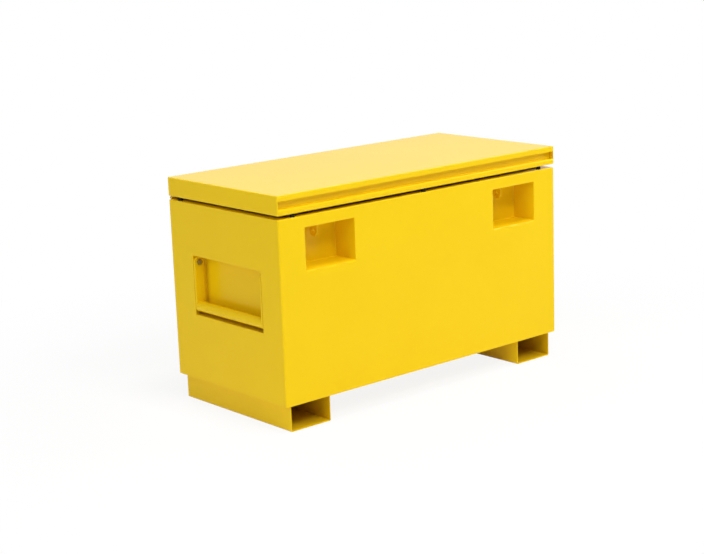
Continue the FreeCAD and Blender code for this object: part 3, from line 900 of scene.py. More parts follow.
class SetTree(GeometryTree):
    """Copies of one part set on points, each turned to its point's facing."""

    def __init__(self) -> None:
        """Write the tree."""
        super().__init__("hardware_set")
        add = self.graph.add
        facing = add(
            "GeometryNodeInputNamedAttribute", {"Name": "facing"}, data_type="FLOAT_VECTOR"
        )
        way = {"Vector": facing.outputs["Attribute"]}
        turn = add("FunctionNodeAlignRotationToVector", way, axis="Z")
        self.end(self.copies(self.source.outputs["Geometry"], Rotation=turn.outputs["Rotation"]))

    def fit(
        self, name: str, part: Skin, spots: Sequence[tuple[Vector, Vector]], finish: Finish,
        node: str,
    ) -> None:
        """Set copies of a part on the box's body.

        Args:
            name: the piece's name.
            part: mesh of the part, made along +Z. It is used up.
            spots: (point, facing) of each copy.
            finish: its surface.
            node: the node it stands for.
        """
        host = bpy.data.meshes.new(name)
        host.from_pydata([point for point, _ in spots], [], [])
        facing = host.attributes.new("facing", "FLOAT_VECTOR", "POINT")
        for item, (_, way) in zip(facing.data, spots):
            item.vector = way
        self.make(name, host, finish, "root", node, part=part)


class KnuckleTree(GeometryTree):
    """Hinge leaf with a row of rolled knuckles at an even pitch."""

    def __init__(self) -> None:
        """Write the tree."""
        super().__init__("knuckle_row")
        graph = self.graph
        step = graph.add("ShaderNodeCombineXYZ", {"X": self.ask("Pitch")}).outputs["Vector"]
        row = graph.add("GeometryNodeMeshLine", {"Count": self.ask("Count", "Int"), "Offset": step})
        both = graph.add("GeometryNodeJoinGeometry")
        for geometry in (self.source.outputs["Geometry"], self.copies(row.outputs["Mesh"])):
            graph.tree.links.new(geometry, both.inputs["Geometry"])
        self.end(both.outputs["Geometry"])


# ---- body ---------------------------------------------------------------------------------
@dataclass(frozen=True)
class Mouth:
    """Opening in a wall whose edges are rolled in; places on the wall are (across, up).

    Args:
        low, high: the opening's corners.
        sill: height and depth of the slope at the lower edge.
        roll: width and depth of the roll at the other edges.
        ease: distance from its ends over which the slope gains its depth.
        bow: power that bends the slope.
        steps: rows of quads in a roll.
    """

    low: Flat
    high: Flat
    sill: Flat
    roll: float = 1.9 * MM
    ease: float = 20 * MM
    bow: float = 1.2
    steps: int = 4

    def stops(self) -> tuple[list[float], list[float]]:
        """Coordinates that follow the rolls.

        Returns:
            Those across and those up.
        """
        turns = [left for left, _ in quarter(1.0, self.steps)]
        across = [self.low[0] - self.roll * turn for turn in turns]
        across += [self.high[0] + self.roll * turn for turn in turns]
        up = [self.low[1] - self.sill[0] * turn for turn in turns]
        up += [self.high[1] + self.roll * turn for turn in turns]
        return across, up

    def sink(self, across: float, up: float) -> float:
        """How far the wall is rolled in.

        Args:
            across, up: the place.

        Returns:
            The depth there.
        """
        aside = max(self.low[0] - across, across - self.high[0], 0.0) / self.roll
        under, above = (self.low[1] - up) / self.sill[0], (up - self.high[1]) / self.roll
        share = 1 - min(1.0, math.hypot(aside, max(under, above, 0.0)))
        rolled = self.roll * (1 - math.sqrt(1 - share * share))
        inside = min(across - self.low[0], self.high[0] - across) / self.ease
        slope = max(0.0, min(1.0, inside)) * (under > -MERGE)
        return rolled + slope * (self.sill[1] * share ** self.bow - rolled)

    def distance(self, across: float, up: float) -> float:
        """Distance of a place from the opening."""
        aside = max(self.low[0] - across, across - self.high[0])
        return max(aside, self.low[1] - up, up - self.high[1])


@dataclass
class BodyShell:
    """Four folded walls with the rim flange, the floor tray and both skids."""

    corner: float = 5 * MM
    rim_bend: float = 3 * MM
    tray_bend: float = 3 * MM
    skid_wall: float = 3 * MM
    skid_bend: float = 4 * MM
    # Painted shade inside the skid tunnels: its share at the mouths and the distance over which it grows.
    shade_reach: float = 80 * MM
    shade_start: float = 0.35
    dish_depth: float = 0.9 * MM
    dish_size: float = 0.28
    dish_fade: float = 0.07
    seam_gap: float = 2 * MM

    def build(self) -> None:
        """Build the walls, the floor and the skids."""
        self.walls()
        self.floor()
        for side in SIDES:
            self.skid(side)

    def mouths(self, bottom: float) -> tuple[list[Mouth], list[Mouth]]:
        """Openings of the walls.

        Args:
            bottom: level that the walls start at.

        Returns:
            Those of the front and those of either end.
        """
        found = []
        for node, axis, sill in (
            ("left_lock_pocket", 0, POCKET_SILL), ("right_lock_pocket", 0, POCKET_SILL),
            ("left_handle_pan", 1, PAN_SILL),
        ):
            low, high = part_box(node)
            near = (low[axis] + SHEET, low.z + SHEET - bottom)
            far = (high[axis] - SHEET, high.z - SHEET - bottom)
            found.append(Mouth(near, far, sill))
        return found[:2], found[2:]

    def walls(self) -> None:
        """One folded shell, parted at the panels' seams."""
        low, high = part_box("front_panel")
        rear_low, rear_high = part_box("rear_panel")
        half_u, half_v = high.x, rear_high.y
        front, ends = self.mouths(low.z)
        end_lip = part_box("left_end_panel")[1].x + half_u
        shell = FoldedPan(
            half_u, half_v, high.z - low.z, self.corner, lip_bend=self.rim_bend,
            lips=(end_lip, end_lip, high.y + half_v, half_v - rear_low.y),
            u_stops=[stop for mouth in front for stop in mouth.stops()[0]],
            v_stops=[stop for mouth in ends for stop in mouth.stops()[0]],
            w_stops=[stop for mouth in (front[0], *ends) for stop in mouth.stops()[1]],
        )
        bm = shell.skin(lambda u, v, w: Vector((u, v, low.z + w)))
        for mouth in front:
            near, far = low.z + mouth.low[1], low.z + mouth.high[1]
            cut_out(bm, (mouth.low[0], -BEYOND, near), (mouth.high[0], NEAR - half_v, far))
        for mouth in ends:
            near, far = low.z + mouth.low[1], low.z + mouth.high[1]
            cut_out(bm, (-BEYOND, mouth.low[0], near), (NEAR - half_u, mouth.high[0], far))
            cut_out(bm, (half_u - NEAR, mouth.low[0], near), (BEYOND, mouth.high[0], far))
        self.dish(bm, half_u, half_v, low.z, high.z)
        solid = thicken(bm, SHEET)
        soften(solid, where=lambda middle: not low.z + NEAR < middle.z < high.z - self.rim_bend)
        front_seam, rear_seam = (0, high.y + self.seam_gap, 0), (0, rear_low.y - self.seam_gap, 0)
        between = [(front_seam, (0, -1, 0)), (rear_seam, (0, 1, 0))]
        for name, seams in (
            ("front_panel", [(front_seam, (0, 1, 0))]),
            ("rear_panel", [(rear_seam, (0, -1, 0))]),
            ("left_end_panel", [*between, ((0, 0, 0), (1, 0, 0))]),
            ("right_end_panel", [*between, ((0, 0, 0), (-1, 0, 0))]),
        ):
            finish_piece(name + "_sheet", self.parted(solid, seams), COAT, "root", name)
        solid.free()

    def parted(self, solid: Skin, seams: Sequence[tuple[tuple, tuple]]) -> Skin:
        """Part of the shell.

        Args:
            solid: the shell, which stays as it is.
            seams: (point, normal) of the planes; what lies ahead of one is left out.

        Returns:
            A copy of the rest, capped at the planes.
        """
        piece = solid.copy()
        for point, normal in seams:
            geometry = [*piece.verts, *piece.edges, *piece.faces]
            cut = bmesh.ops.bisect_plane(
                piece, geom=geometry, plane_co=point, plane_no=normal, clear_outer=True, dist=MERGE
            )
            rim = [item for item in cut["geom_cut"] if isinstance(item, bmesh.types.BMEdge)]
            bmesh.ops.holes_fill(piece, edges=rim, sides=0)
        return piece

    def dish(self, bm: Skin, half_u: float, half_v: float, bottom: float, top: float) -> None:
        """Let the flats sink in by a fraction of a millimetre, and roll the openings' edges in.

        Args:
            bm: the walls' skin.
            half_u, half_v: half the box's length and depth.
            bottom, top: levels of the walls' lower and upper edge.
        """
        front, ends = self.mouths(bottom)
        for vert in bm.verts:
            x, y, z = vert.co
            on_end, on_side = abs(abs(x) - half_u) < MERGE, abs(abs(y) - half_v) < MERGE
            if not (on_end or on_side):
                continue
            across, limit = (y, half_v) if on_end else (x, half_u)
            mouths = ends if on_end else front if y < 0 else ()
            place = (across, z - bottom)
            away = [mouth.distance(*place) for mouth in mouths]
            room = min([limit - abs(across), z - bottom, top - z, *away])
            share = max(0.0, min(1.0, room / self.dish_fade))
            share = share * share * (3 - 2 * share)
            level = 0.5 + 0.5 * noise.noise(Vector((x, y, z)) / self.dish_size)
            sink = self.dish_depth * share * level
            sink += sum((mouth.sink(*place) for mouth in mouths), 0.0)
            if on_end:
                vert.co.x -= math.copysign(sink, x)
            else:
                vert.co.y -= math.copysign(sink, y)

    def floor(self) -> None:
        """Floor tray with its upturned edges."""
        low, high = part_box("floor_panel")
        tray = FoldedPan(high.x, high.y, high.z - low.z, self.tray_bend, plate_bend=self.tray_bend)
        solid = thicken(tray.skin(lambda u, v, w: Vector((u, v, low.z + w))), SHEET)
        soften(solid)
        finish_piece("floor_tray", solid, COAT, "root", "floor_panel")

    def skid(self, side: str) -> None:
        """U-channel that takes a fork tine.

        Args:
            side: one of SIDES.
        """
        low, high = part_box(f"{side}_skid")
        line = rounded([
            (low.x, high.z, 0), (low.x, low.z, self.skid_bend), (high.x, low.z, self.skid_bend),
            (high.x, high.z, 0),
        ])
        skin = folded_strip(line, (low.y, high.y), from_side)
        solid = thicken(skin, self.skid_wall, outward=True)
        soften(solid)

        def deep(at: Vector) -> float:
            """Share of painted shade inside the channel: it starts at the mouths and grows inwards.

            Args:
                at: place on the channel.

            Returns:
                The share there, which may pass 1.
            """
            wall = self.skid_wall - NEAR
            within = low.x + wall < at.x < high.x - wall and at.z > low.z + wall
            return within * (self.shade_start + min(at.y - low.y, high.y - at.y) / self.shade_reach)

        # Painted shade: the channel's inside is darkened more the deeper it lies in the tunnel.
        painted_shade(solid, deep)
        finish_piece(f"{side}_skid_channel", solid, COAT, "root", f"{side}_skid")


@dataclass
class Trays:
    """Lock pockets behind the front panel and handle pans behind the end panels."""

    bend: float = 3 * MM
    tab_thickness: float = 6 * MM
    slot_gap: float = 3 * MM
    slot_front_room: float = 12 * MM
    # Painted shade at the pan's bottom, under the grip: the height it fully covers and the distance it fades over.
    shade_height: float = 12 * MM
    shade_fade: float = 14 * MM

    def build(self) -> None:
        """Build all four trays."""
        for side in SIDES:
            self.pocket(side)
            self.pan(side)

    def reach(self, tray: FoldedPan, v: float, w: float, sill: Flat) -> float:
        """Place along a tray's walls, held back at the floor's mouth to clear the sill's slope.

        Args:
            tray: the tray.
            v, w: place on it.
            sill: height and depth of the slope.

        Returns:
            The w that the place gets.
        """
        low_share = max(0.0, min(1.0, (self.bend - tray.half_v - v) / self.bend))
        return min(w, tray.depth - low_share * (sill[1] - SHEET))

    def pocket(self, side: str) -> None:
        """Lock pocket with the slot in its roof that the tab drops through.

        Args:
            side: one of SIDES.
        """
        low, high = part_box(f"{side}_lock_pocket")
        middle = (low + high) / 2
        back = high.y - SHEET
        tab_low, tab_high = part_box(f"{side}_lock_tab")
        tab_x = (tab_low.x + tab_high.x) / 2
        reach = self.tab_thickness / 2 + self.slot_gap
        slot_x = (tab_x - reach, tab_x + reach)
        slot_y = (tab_low.y - self.slot_front_room, tab_high.y + self.slot_gap)
        tray = FoldedPan(
            (high.x - low.x) / 2 - SHEET, (high.z - low.z) / 2 - SHEET, back - low.y, self.bend,
            plate_bend=self.bend, u_stops=[x - middle.x for x in slot_x],
            w_stops=[back - y for y in slot_y],
        )

        def place(u: float, v: float, w: float) -> Vector:
            """Point of the frame, with w forwards from the pocket's back."""
            y = back - self.reach(tray, v, w, POCKET_SILL)
            return Vector((middle.x + u, y, middle.z + v))

        bm = tray.skin(place)
        cut_out(bm, (slot_x[0], slot_y[0], middle.z), (slot_x[1], slot_y[1], BEYOND))
        solid = thicken(bm, SHEET, outward=True)
        soften(solid, where=lambda point: point.y > low.y + NEAR)
        finish_piece(f"{side}_lock_pocket_tray", solid, COAT, "root", f"{side}_lock_pocket")

    def pan(self, side: str) -> None:
        """Handle pan.

        Args:
            side: one of SIDES.
        """
        low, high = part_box(f"{side}_handle_pan")
        middle = (low + high) / 2
        back = min(abs(low.x), abs(high.x)) + SHEET
        mouth = max(abs(low.x), abs(high.x))
        tray = FoldedPan(
            (high.y - low.y) / 2 - SHEET, (high.z - low.z) / 2 - SHEET, mouth - back, self.bend,
            plate_bend=self.bend,
        )

        def place(u: float, v: float, w: float) -> Vector:
            """Point of the frame, with w outwards along the box."""
            x = SIDES[side] * (back + self.reach(tray, v, w, PAN_SILL))
            return Vector((x, middle.y + u, middle.z + v))

        solid = thicken(tray.skin(place), SHEET, outward=True)
        soften(solid, where=lambda point: abs(point.x) < mouth - NEAR)
        # Painted shade: the pan is darkened towards its bottom, under the grip.
        painted_shade(solid, lambda at: 1 - (at.z - low.z - self.shade_height) / self.shade_fade)
        finish_piece(f"{side}_handle_pan_tray", solid, COAT, "root", f"{side}_handle_pan")


# ---- lid ----------------------------------------------------------------------------------
@dataclass
class Lid:
    """Lid shell, front pull, stiffeners and lock tabs."""

    bend: float = 3 * MM
    lower_strip: float = 18.5 * MM
    groove_height: float = 26 * MM
    groove_depth: float = 17 * MM
    ledge_bend: float = 5 * MM
    seam: float = 0.15 * MM
    stiffener_sheet: float = 1.5 * MM
    stiffener_bend: float = 2.5 * MM
    stiffener_foot: float = 16 * MM
    stiffener_rounding: float = 0.4 * MM
    tab_thickness: float = 6 * MM
    tab_corner: float = 16 * MM
    tab_steps: int = 8
    tab_rounding: float = 0.8 * MM
    tab_hole: float = 7 * MM
    tab_hole_rise: float = 18 * MM
    tab_foot: float = 4 * MM
    foot_corner: float = 1 * MM

    def build(self) -> None:
        """Build every piece of the lid's sheet work."""
        self.shell()
        self.pull()
        for side in SIDES:
            self.stiffener(side)
            self.tab(side)

    def shell(self) -> None:
        """Top, skirts and return flanges; the front wall stops at the groove."""
        low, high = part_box("lid_shell")
        pull_low, pull_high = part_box("lid_front_pull")
        rear_lip = high.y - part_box("rear_panel")[0].y
        front_lip = pull_high.y - pull_low.y
        drop = high.z - (low.z + self.lower_strip + self.groove_height)
        pan = FoldedPan(
            high.x, high.y, high.z - low.z, self.bend, plate_bend=self.bend, lip_bend=self.bend,
            lips=(front_lip, front_lip, front_lip, rear_lip), w_stops=[drop],
        )
        bm = pan.skin(lambda u, v, w: Vector((u, v, high.z - w)))
        end = high.x - self.bend
        cut_out(bm, (-end, -BEYOND, 0), (end, low.y + MERGE, high.z - drop))
        cut_out(bm, (-end, -BEYOND, 0), (end, low.y + front_lip, low.z + self.bend + MERGE))
        solid = thicken(bm, SHEET)
        soften(solid, where=lambda point: point.z < high.z - SHEET)
        finish_piece("lid_folded_shell", solid, COAT, "lid", "lid_shell")

    def pull(self) -> None:
        """Folded strip with the finger groove."""
        low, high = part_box("lid_front_pull")
        ledge = low.z + self.lower_strip
        roof = ledge + self.groove_height
        inside = self.bend - SHEET
        line = rounded([
            (high.y, low.z, 0), (low.y, low.z, self.bend), (low.y, ledge, self.ledge_bend),
            (low.y + self.groove_depth, ledge, inside), (low.y + self.groove_depth, roof, inside),
            (low.y + SHEET, roof, 0),
        ])
        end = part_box("lid_shell")[1].x

        def place(a: float, b: float, mark: float) -> Vector:
            """Point of the strip; the flange is mitred to the end flanges.

            Args:
                a, b: point of the section.
                mark: place along the strip.

            Returns:
                The point of the frame.
            """
            depth = a - low.y if b < low.z + MERGE else 0.0
            limit = min(end - self.bend, end - depth) - self.seam
            return Vector((max(-limit, min(limit, mark)), a, b))

        solid = thicken(folded_strip(line, (low.x, high.x), place), SHEET, outward=True)
        soften(
            solid, where=lambda point: point.z < low.z + SHEET + NEAR and point.y > high.y - NEAR
        )
        finish_piece("lid_folded_pull", solid, COAT, "lid", "lid_front_pull")

    def stiffener(self, side: str) -> None:
        """Hat channel under the top.

        Args:
            side: one of SIDES.
        """
        low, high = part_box(f"{side}_lid_stiffener")
        wing = high.z - self.stiffener_sheet
        left, right = low.x + self.stiffener_foot, high.x - self.stiffener_foot
        bend = self.stiffener_bend
        line = rounded([
            (low.x, wing, 0), (left, wing, bend), (left, low.z, bend), (right, low.z, bend),
            (right, wing, bend), (high.x, wing, 0),
        ])
        skin = folded_strip(line, (low.y, high.y), from_side)
        solid = thicken(skin, self.stiffener_sheet, outward=True)
        soften(solid, self.stiffener_rounding)
        finish_piece(f"{side}_lid_hat_channel", solid, COAT, "lid", f"{side}_lid_stiffener")

    def tab(self, side: str) -> None:
        """Drilled lock tab with its foot.

        Args:
            side: one of SIDES.
        """
        low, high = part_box(f"{side}_lock_tab")
        left = (low.x + high.x - self.tab_thickness) / 2
        outline = rounded_box(
            (low.y, low.z), (high.y, high.z), self.tab_corner, self.foot_corner, self.tab_steps
        )
        hole = (((low.y + high.y) / 2, low.z + self.tab_hole_rise), self.tab_hole)
        blade = plate(
            outline, self.tab_thickness, lambda u, v, w: Vector((left + w, u, v)), hole,
            self.tab_rounding,
        )
        outline = rounded_box((low.x, low.y), (high.x, high.y), self.foot_corner)
        foot = plate(outline, self.tab_foot, lambda u, v, w: Vector((u, v, high.z - w)))
        finish_piece(f"{side}_lock_tab_plate", joined(blade, foot), COAT, "lid", f"{side}_lock_tab")


# ---- handles ------------------------------------------------------------------------------
@dataclass
class DropHandle:
    """Two flat arms welded to a grip tube, hung on two bolts."""

    side: str
    beads: BeadTree
    grip_wall: float = 2.5 * MM
    grip_inset: float = 1 * MM
    grip_steps: int = 40
    arm_rounding: float = 1.2 * MM
    arm_flat: float = 4 * MERGE
    arm_steps: int = 12
    bolt_hole: float = 5 * MM
    bead: float = 1.8 * MM
    bead_steps: int = 36

    def build(self) -> None:
        """Build the arms, the grip and its welds."""
        pivot = joint_place(f"{self.side}_handle_swing")
        for end in ("front", "rear"):
            node = f"{self.side}_handle_{end}_arm"
            low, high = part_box(node)
            corner = (high.x - low.x) / 2 - self.arm_flat
            outline = rounded_box((low.x, low.z), (high.x, high.z), corner, steps=self.arm_steps)
            solid = plate(
                outline, high.y - low.y, lambda u, v, w: Vector((u, low.y + w, v)),
                ((pivot.x, pivot.z), self.bolt_hole), self.arm_rounding,
            )
            finish_piece(f"{node}_bar", solid, COAT, f"{self.side}_handle", node)
        self.grip()

    def grip(self) -> None:
        """Grip tube with a weld bead round each end."""
        arm_low, arm_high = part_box(f"{self.side}_handle_front_arm")
        radius = (arm_high.x - arm_low.x) / 2 - self.grip_inset
        body = f"{self.side}_handle"
        low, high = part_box(body + "_grip")
        centre = Vector(((low.x + high.x) / 2, 0, (low.z + high.z) / 2))
        bore = radius - self.grip_wall
        line = [(radius, low.y), (radius, high.y), (bore, high.y), (bore, low.y), (radius, low.y)]
        solid = turned(line, lambda u, v, w: centre + Vector((u, w, v)), self.grip_steps)
        finish_piece(body + "_grip_tube", solid, COAT, body, body + "_grip")
        turns = [math.tau * step / self.bead_steps for step in range(self.bead_steps)]
        ring = radius - self.bead / 2
        circle = [(centre.x + ring * math.cos(t), centre.z + ring * math.sin(t)) for t in turns]
        paths = [[Vector((x, y, z)) for x, z in circle] for y in (low.y, high.y)]
        self.beads.lay(body + "_weld", paths, body, self.bead, closed=True)


@dataclass
class PivotHardware:
    """Hexagon bolts, washers and nuts of both handles."""

    tree: SetTree
    flats: float = 17 * MM
    head: float = 6.4 * MM
    nut: float = 8 * MM
    chamfer: float = math.radians(30)
    face_share: float = 0.95
    hexagon_steps: int = 36
    shank: float = 5 * MM
    shank_tip: float = 1 * MM
    shank_steps: int = 24
    washer: float = 10 * MM
    washer_thickness: float = 1.6 * MM
    washer_edge: float = 0.3 * MM
    arm_clearance: float = 0.3 * MM

    def hexagon(self, base: float, height: float, bore: float, both_ends: bool) -> Skin:
        """Hexagon with chamfered corners.

        Args:
            base: w of its lower face.
            height: of the hexagon.
            bore: radius of its bore, or 0 for none.
            both_ends: whether the lower corners are chamfered too.

        Returns:
            A closed mesh.
        """
        flat, top = self.flats / 2, base + height
        face = self.face_share * flat
        columns = []
        for step in range(self.hexagon_steps):
            turn = math.tau * step / self.hexagon_steps
            reach = flat / math.cos(turn % (math.pi / 3) - math.pi / 6)
            drop = (reach - flat) * math.tan(self.chamfer)
            section = (
                (bore, base), (face, base), (reach, base + drop * both_ends), (reach, top - drop),
                (face, top), (bore, top),
            )
            u, v = math.cos(turn), math.sin(turn)
            columns.append([Vector((radius * u, radius * v, w)) for radius, w in section])
        rows = list(zip(*columns))
        if bore:
            rows.append(rows[0])
        bm = bmesh.new()
        weave(bm, rows, closed=True)
        tidy(bm)
        return bm

    def spots(self, inner: bool) -> list[tuple[Vector, Vector]]:
        """Where hardware meets the arms at the pivots.

        Args:
            inner: whether it stands on the arms' inner faces rather than the outer ones.

        Returns:
            (point, facing) of each pivot, facing away from the arm.
        """
        found = []
        for side in SIDES:
            pivot = joint_place(f"{side}_handle_swing")
            for end, sign in (("front", -1.0), ("rear", 1.0)):
                low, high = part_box(f"{side}_handle_{end}_arm")
                outer = low.y if sign < 0 else high.y
                face = high.y + low.y - outer if inner else outer
                way = -sign if inner else sign
                found.append((Vector((pivot.x, face, pivot.z)), Vector((0, way, 0))))
        return found

    def build(self) -> None:
        """Set all twelve pieces of hardware."""
        arm_low, arm_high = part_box("left_handle_front_arm")
        gap = arm_low.y - (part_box("left_handle_pan")[0].y + SHEET)
        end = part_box("handle_pivot_bolts")[0].y - arm_high.y
        start, tip, edge = self.arm_clearance, self.shank_tip, self.washer_edge
        head = self.hexagon(start, self.head, 0.0, False)
        shank = turned([
            (0, start), (self.shank, start), (self.shank, end + tip), (self.shank - tip, end),
            (0, end),
        ], steps=self.shank_steps)
        start, hole = gap - self.washer_thickness, self.shank + edge
        washer = turned([
            (hole, start), (self.washer - edge, start), (self.washer, start + edge),
            (self.washer, gap - edge), (self.washer - edge, gap), (hole, gap), (hole, start),
        ])
        nut = self.hexagon(gap + SHEET, self.nut, self.shank, True)
        bolt = joined(head, shank)
        self.tree.fit("handle_bolts", bolt, self.spots(True), ZINC, "handle_pivot_bolts")
        self.tree.fit("handle_washers", washer, self.spots(False), ZINC, "handle_pivot_washers")
        self.tree.fit("handle_nuts", nut, self.spots(False), ZINC, "handle_pivot_nuts")


# ---- hinge and bumpers --------------------------------------------------------------------
@dataclass
class PianoHinge:
    """Full-length hinge with rolled knuckles on two leaves."""

    tree: KnuckleTree
    count: int = 20
    gap: float = 0.5 * MM
    barrel: float = 5 * MM
    curl_points: int = 22
    curl_degrees: int = 15
    pin: float = 2.5 * MM
    pin_dome: float = 1 * MM
    pin_steps: int = 20
    leaf_sheet: float = 1.6 * MM
    leaf_corner: float = 1 * MM
    leaf_rounding: float = 0.3 * MM

    def build(self) -> None:
        """Build both leaves and the pin."""
        self.leaf("hinge_leaf_body", "root", 0)
        self.leaf("hinge_leaf_lid", "lid", 1)
        low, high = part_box("hinge_pin")
        axis = joint_place("lid_hinge")
        neck = self.pin - self.pin_dome
        line = [(0, low.x), (neck, low.x), (self.pin, low.x + self.pin_dome),
                (self.pin, high.x - self.pin_dome), (neck, high.x), (0, high.x)]
        solid = turned(line, lambda u, v, w: Vector((w, axis.y + u, axis.z + v)), self.pin_steps)
        finish_piece("hinge_wire_pin", solid, ZINC, "root", "hinge_pin")

    def leaf(self, node: str, body: str, first: int) -> None:
        """One leaf: a flat plate, and knuckles that curl from it round the pin.

        Args:
            node: the frame's leaf.
            body: the body it rides on.
            first: index of its first knuckle: 0 for the leaf that lies below, 1 for the upper one.
        """
        low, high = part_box(node)
        axis = joint_place("lid_hinge")
        pin_low, pin_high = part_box("hinge_pin")
        pitch = (pin_high.x - pin_low.x) / self.count
        level = high.z - self.leaf_sheet if first else low.z
        edge = axis.y - self.barrel - self.gap
        flat = plate(
            rounded_box((pin_low.x, low.y), (pin_high.x, edge), self.leaf_corner),
            self.leaf_sheet, lambda u, v, w: Vector((u, v, level + w)), rounding=self.leaf_rounding,
        )
        start = Vector((pin_low.x + first * pitch + self.gap / 2, axis.y, axis.z))
        knuckle = self.knuckle(start, pitch - self.gap, level + self.leaf_sheet / 2 - axis.z)
        self.tree.make(
            node + "_rolled", as_mesh(node, flat), COAT, body, node, part=knuckle,
            Count=self.count // 2, Pitch=2 * pitch,
        )

    def knuckle(self, start: Vector, length: float, level: float) -> Skin:
        """Sheet that runs from the leaf to the barrel and curls round the pin.

        Args:
            start: the knuckle's left end on the pin's axis.
            length: along the pin.
            level: height of the leaf's middle above the axis.

        Returns:
            A closed mesh.
        """
        middle = self.barrel - self.leaf_sheet / 2
        side = math.copysign(1.0, level)
        turn = math.asin(min(1.0, abs(level) / middle))
        turns = [turn + math.radians(step * self.curl_degrees) for step in range(self.curl_points)]
        line = [Vector((-self.barrel - self.gap, level))]
        line += [
            Vector((-middle * math.cos(turn), side * middle * math.sin(turn))) for turn in turns
        ]
        outer, inner = [], []
        for before, here, after in zip(line[:1] + line, line, line[1:] + line[-1:]):
            along = (after - before).normalized()
            across = Vector((-along.y, along.x)) * (self.leaf_sheet / 2)
            outer.append(here + across)
            inner.append(here - across)
        loop = outer + inner[::-1]
        rows = [[start + Vector((x, p.x, p.y)) for p in loop] for x in (0.0, length)]
        bm = bmesh.new()
        weave(bm, rows, closed=True)
        for row in rows:
            cap = [bm.verts.new(point) for point in row]
            for index in range(len(line) - 1):
                bm.faces.new((cap[index], cap[index + 1], cap[-index - 2], cap[-index - 1]))
        tidy(bm)
        return bm


@dataclass
class RimBumpers:
    """Round rubber bumpers on the rim, under the shut lid."""

    tree: SetTree
    radius: float = 8 * MM
    rounding: float = 2 * MM
    recess: float = 2.6 * MM
    recess_depth: float = 1.5 * MM
    edge: float = 0.5 * MM
    end_distance: float = 65 * MM

    def profile(self, height: float) -> list[Flat]:
        """Section of a bumper with a rounded rim and a recess for its rivet.

        Args:
            height: of the bumper.

        Returns:
            Its (radius, w) points.
        """
        hole, floor, edge = self.recess, height - self.recess_depth, self.edge
        rim = [(self.radius - inset, height - left) for left, inset in quarter(self.rounding)]
        dip = [(hole + edge, height), (hole, height - edge), (hole, floor), (0, floor)]
        return [(0, 0), (self.radius - edge, 0), (self.radius, edge), *rim, *dip]

    def build(self) -> None:
        """Set three bumpers along the front and one near the rear of each end."""
        low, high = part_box("rim_bumpers")
        row_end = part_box("front_panel")[1].x - self.end_distance
        side, front, rear = high.x - self.radius, low.y + self.radius, high.y - self.radius
        places = [(-row_end, front), (0.0, front), (row_end, front), (-side, rear), (side, rear)]
        spots = [(Vector((x, y, low.z)), Vector((0, 0, 1))) for x, y in places]
        bumper = turned(self.profile(high.z - low.z))
        self.tree.fit("rim_rubber_bumpers", bumper, spots, RUBBER, "rim_bumpers")


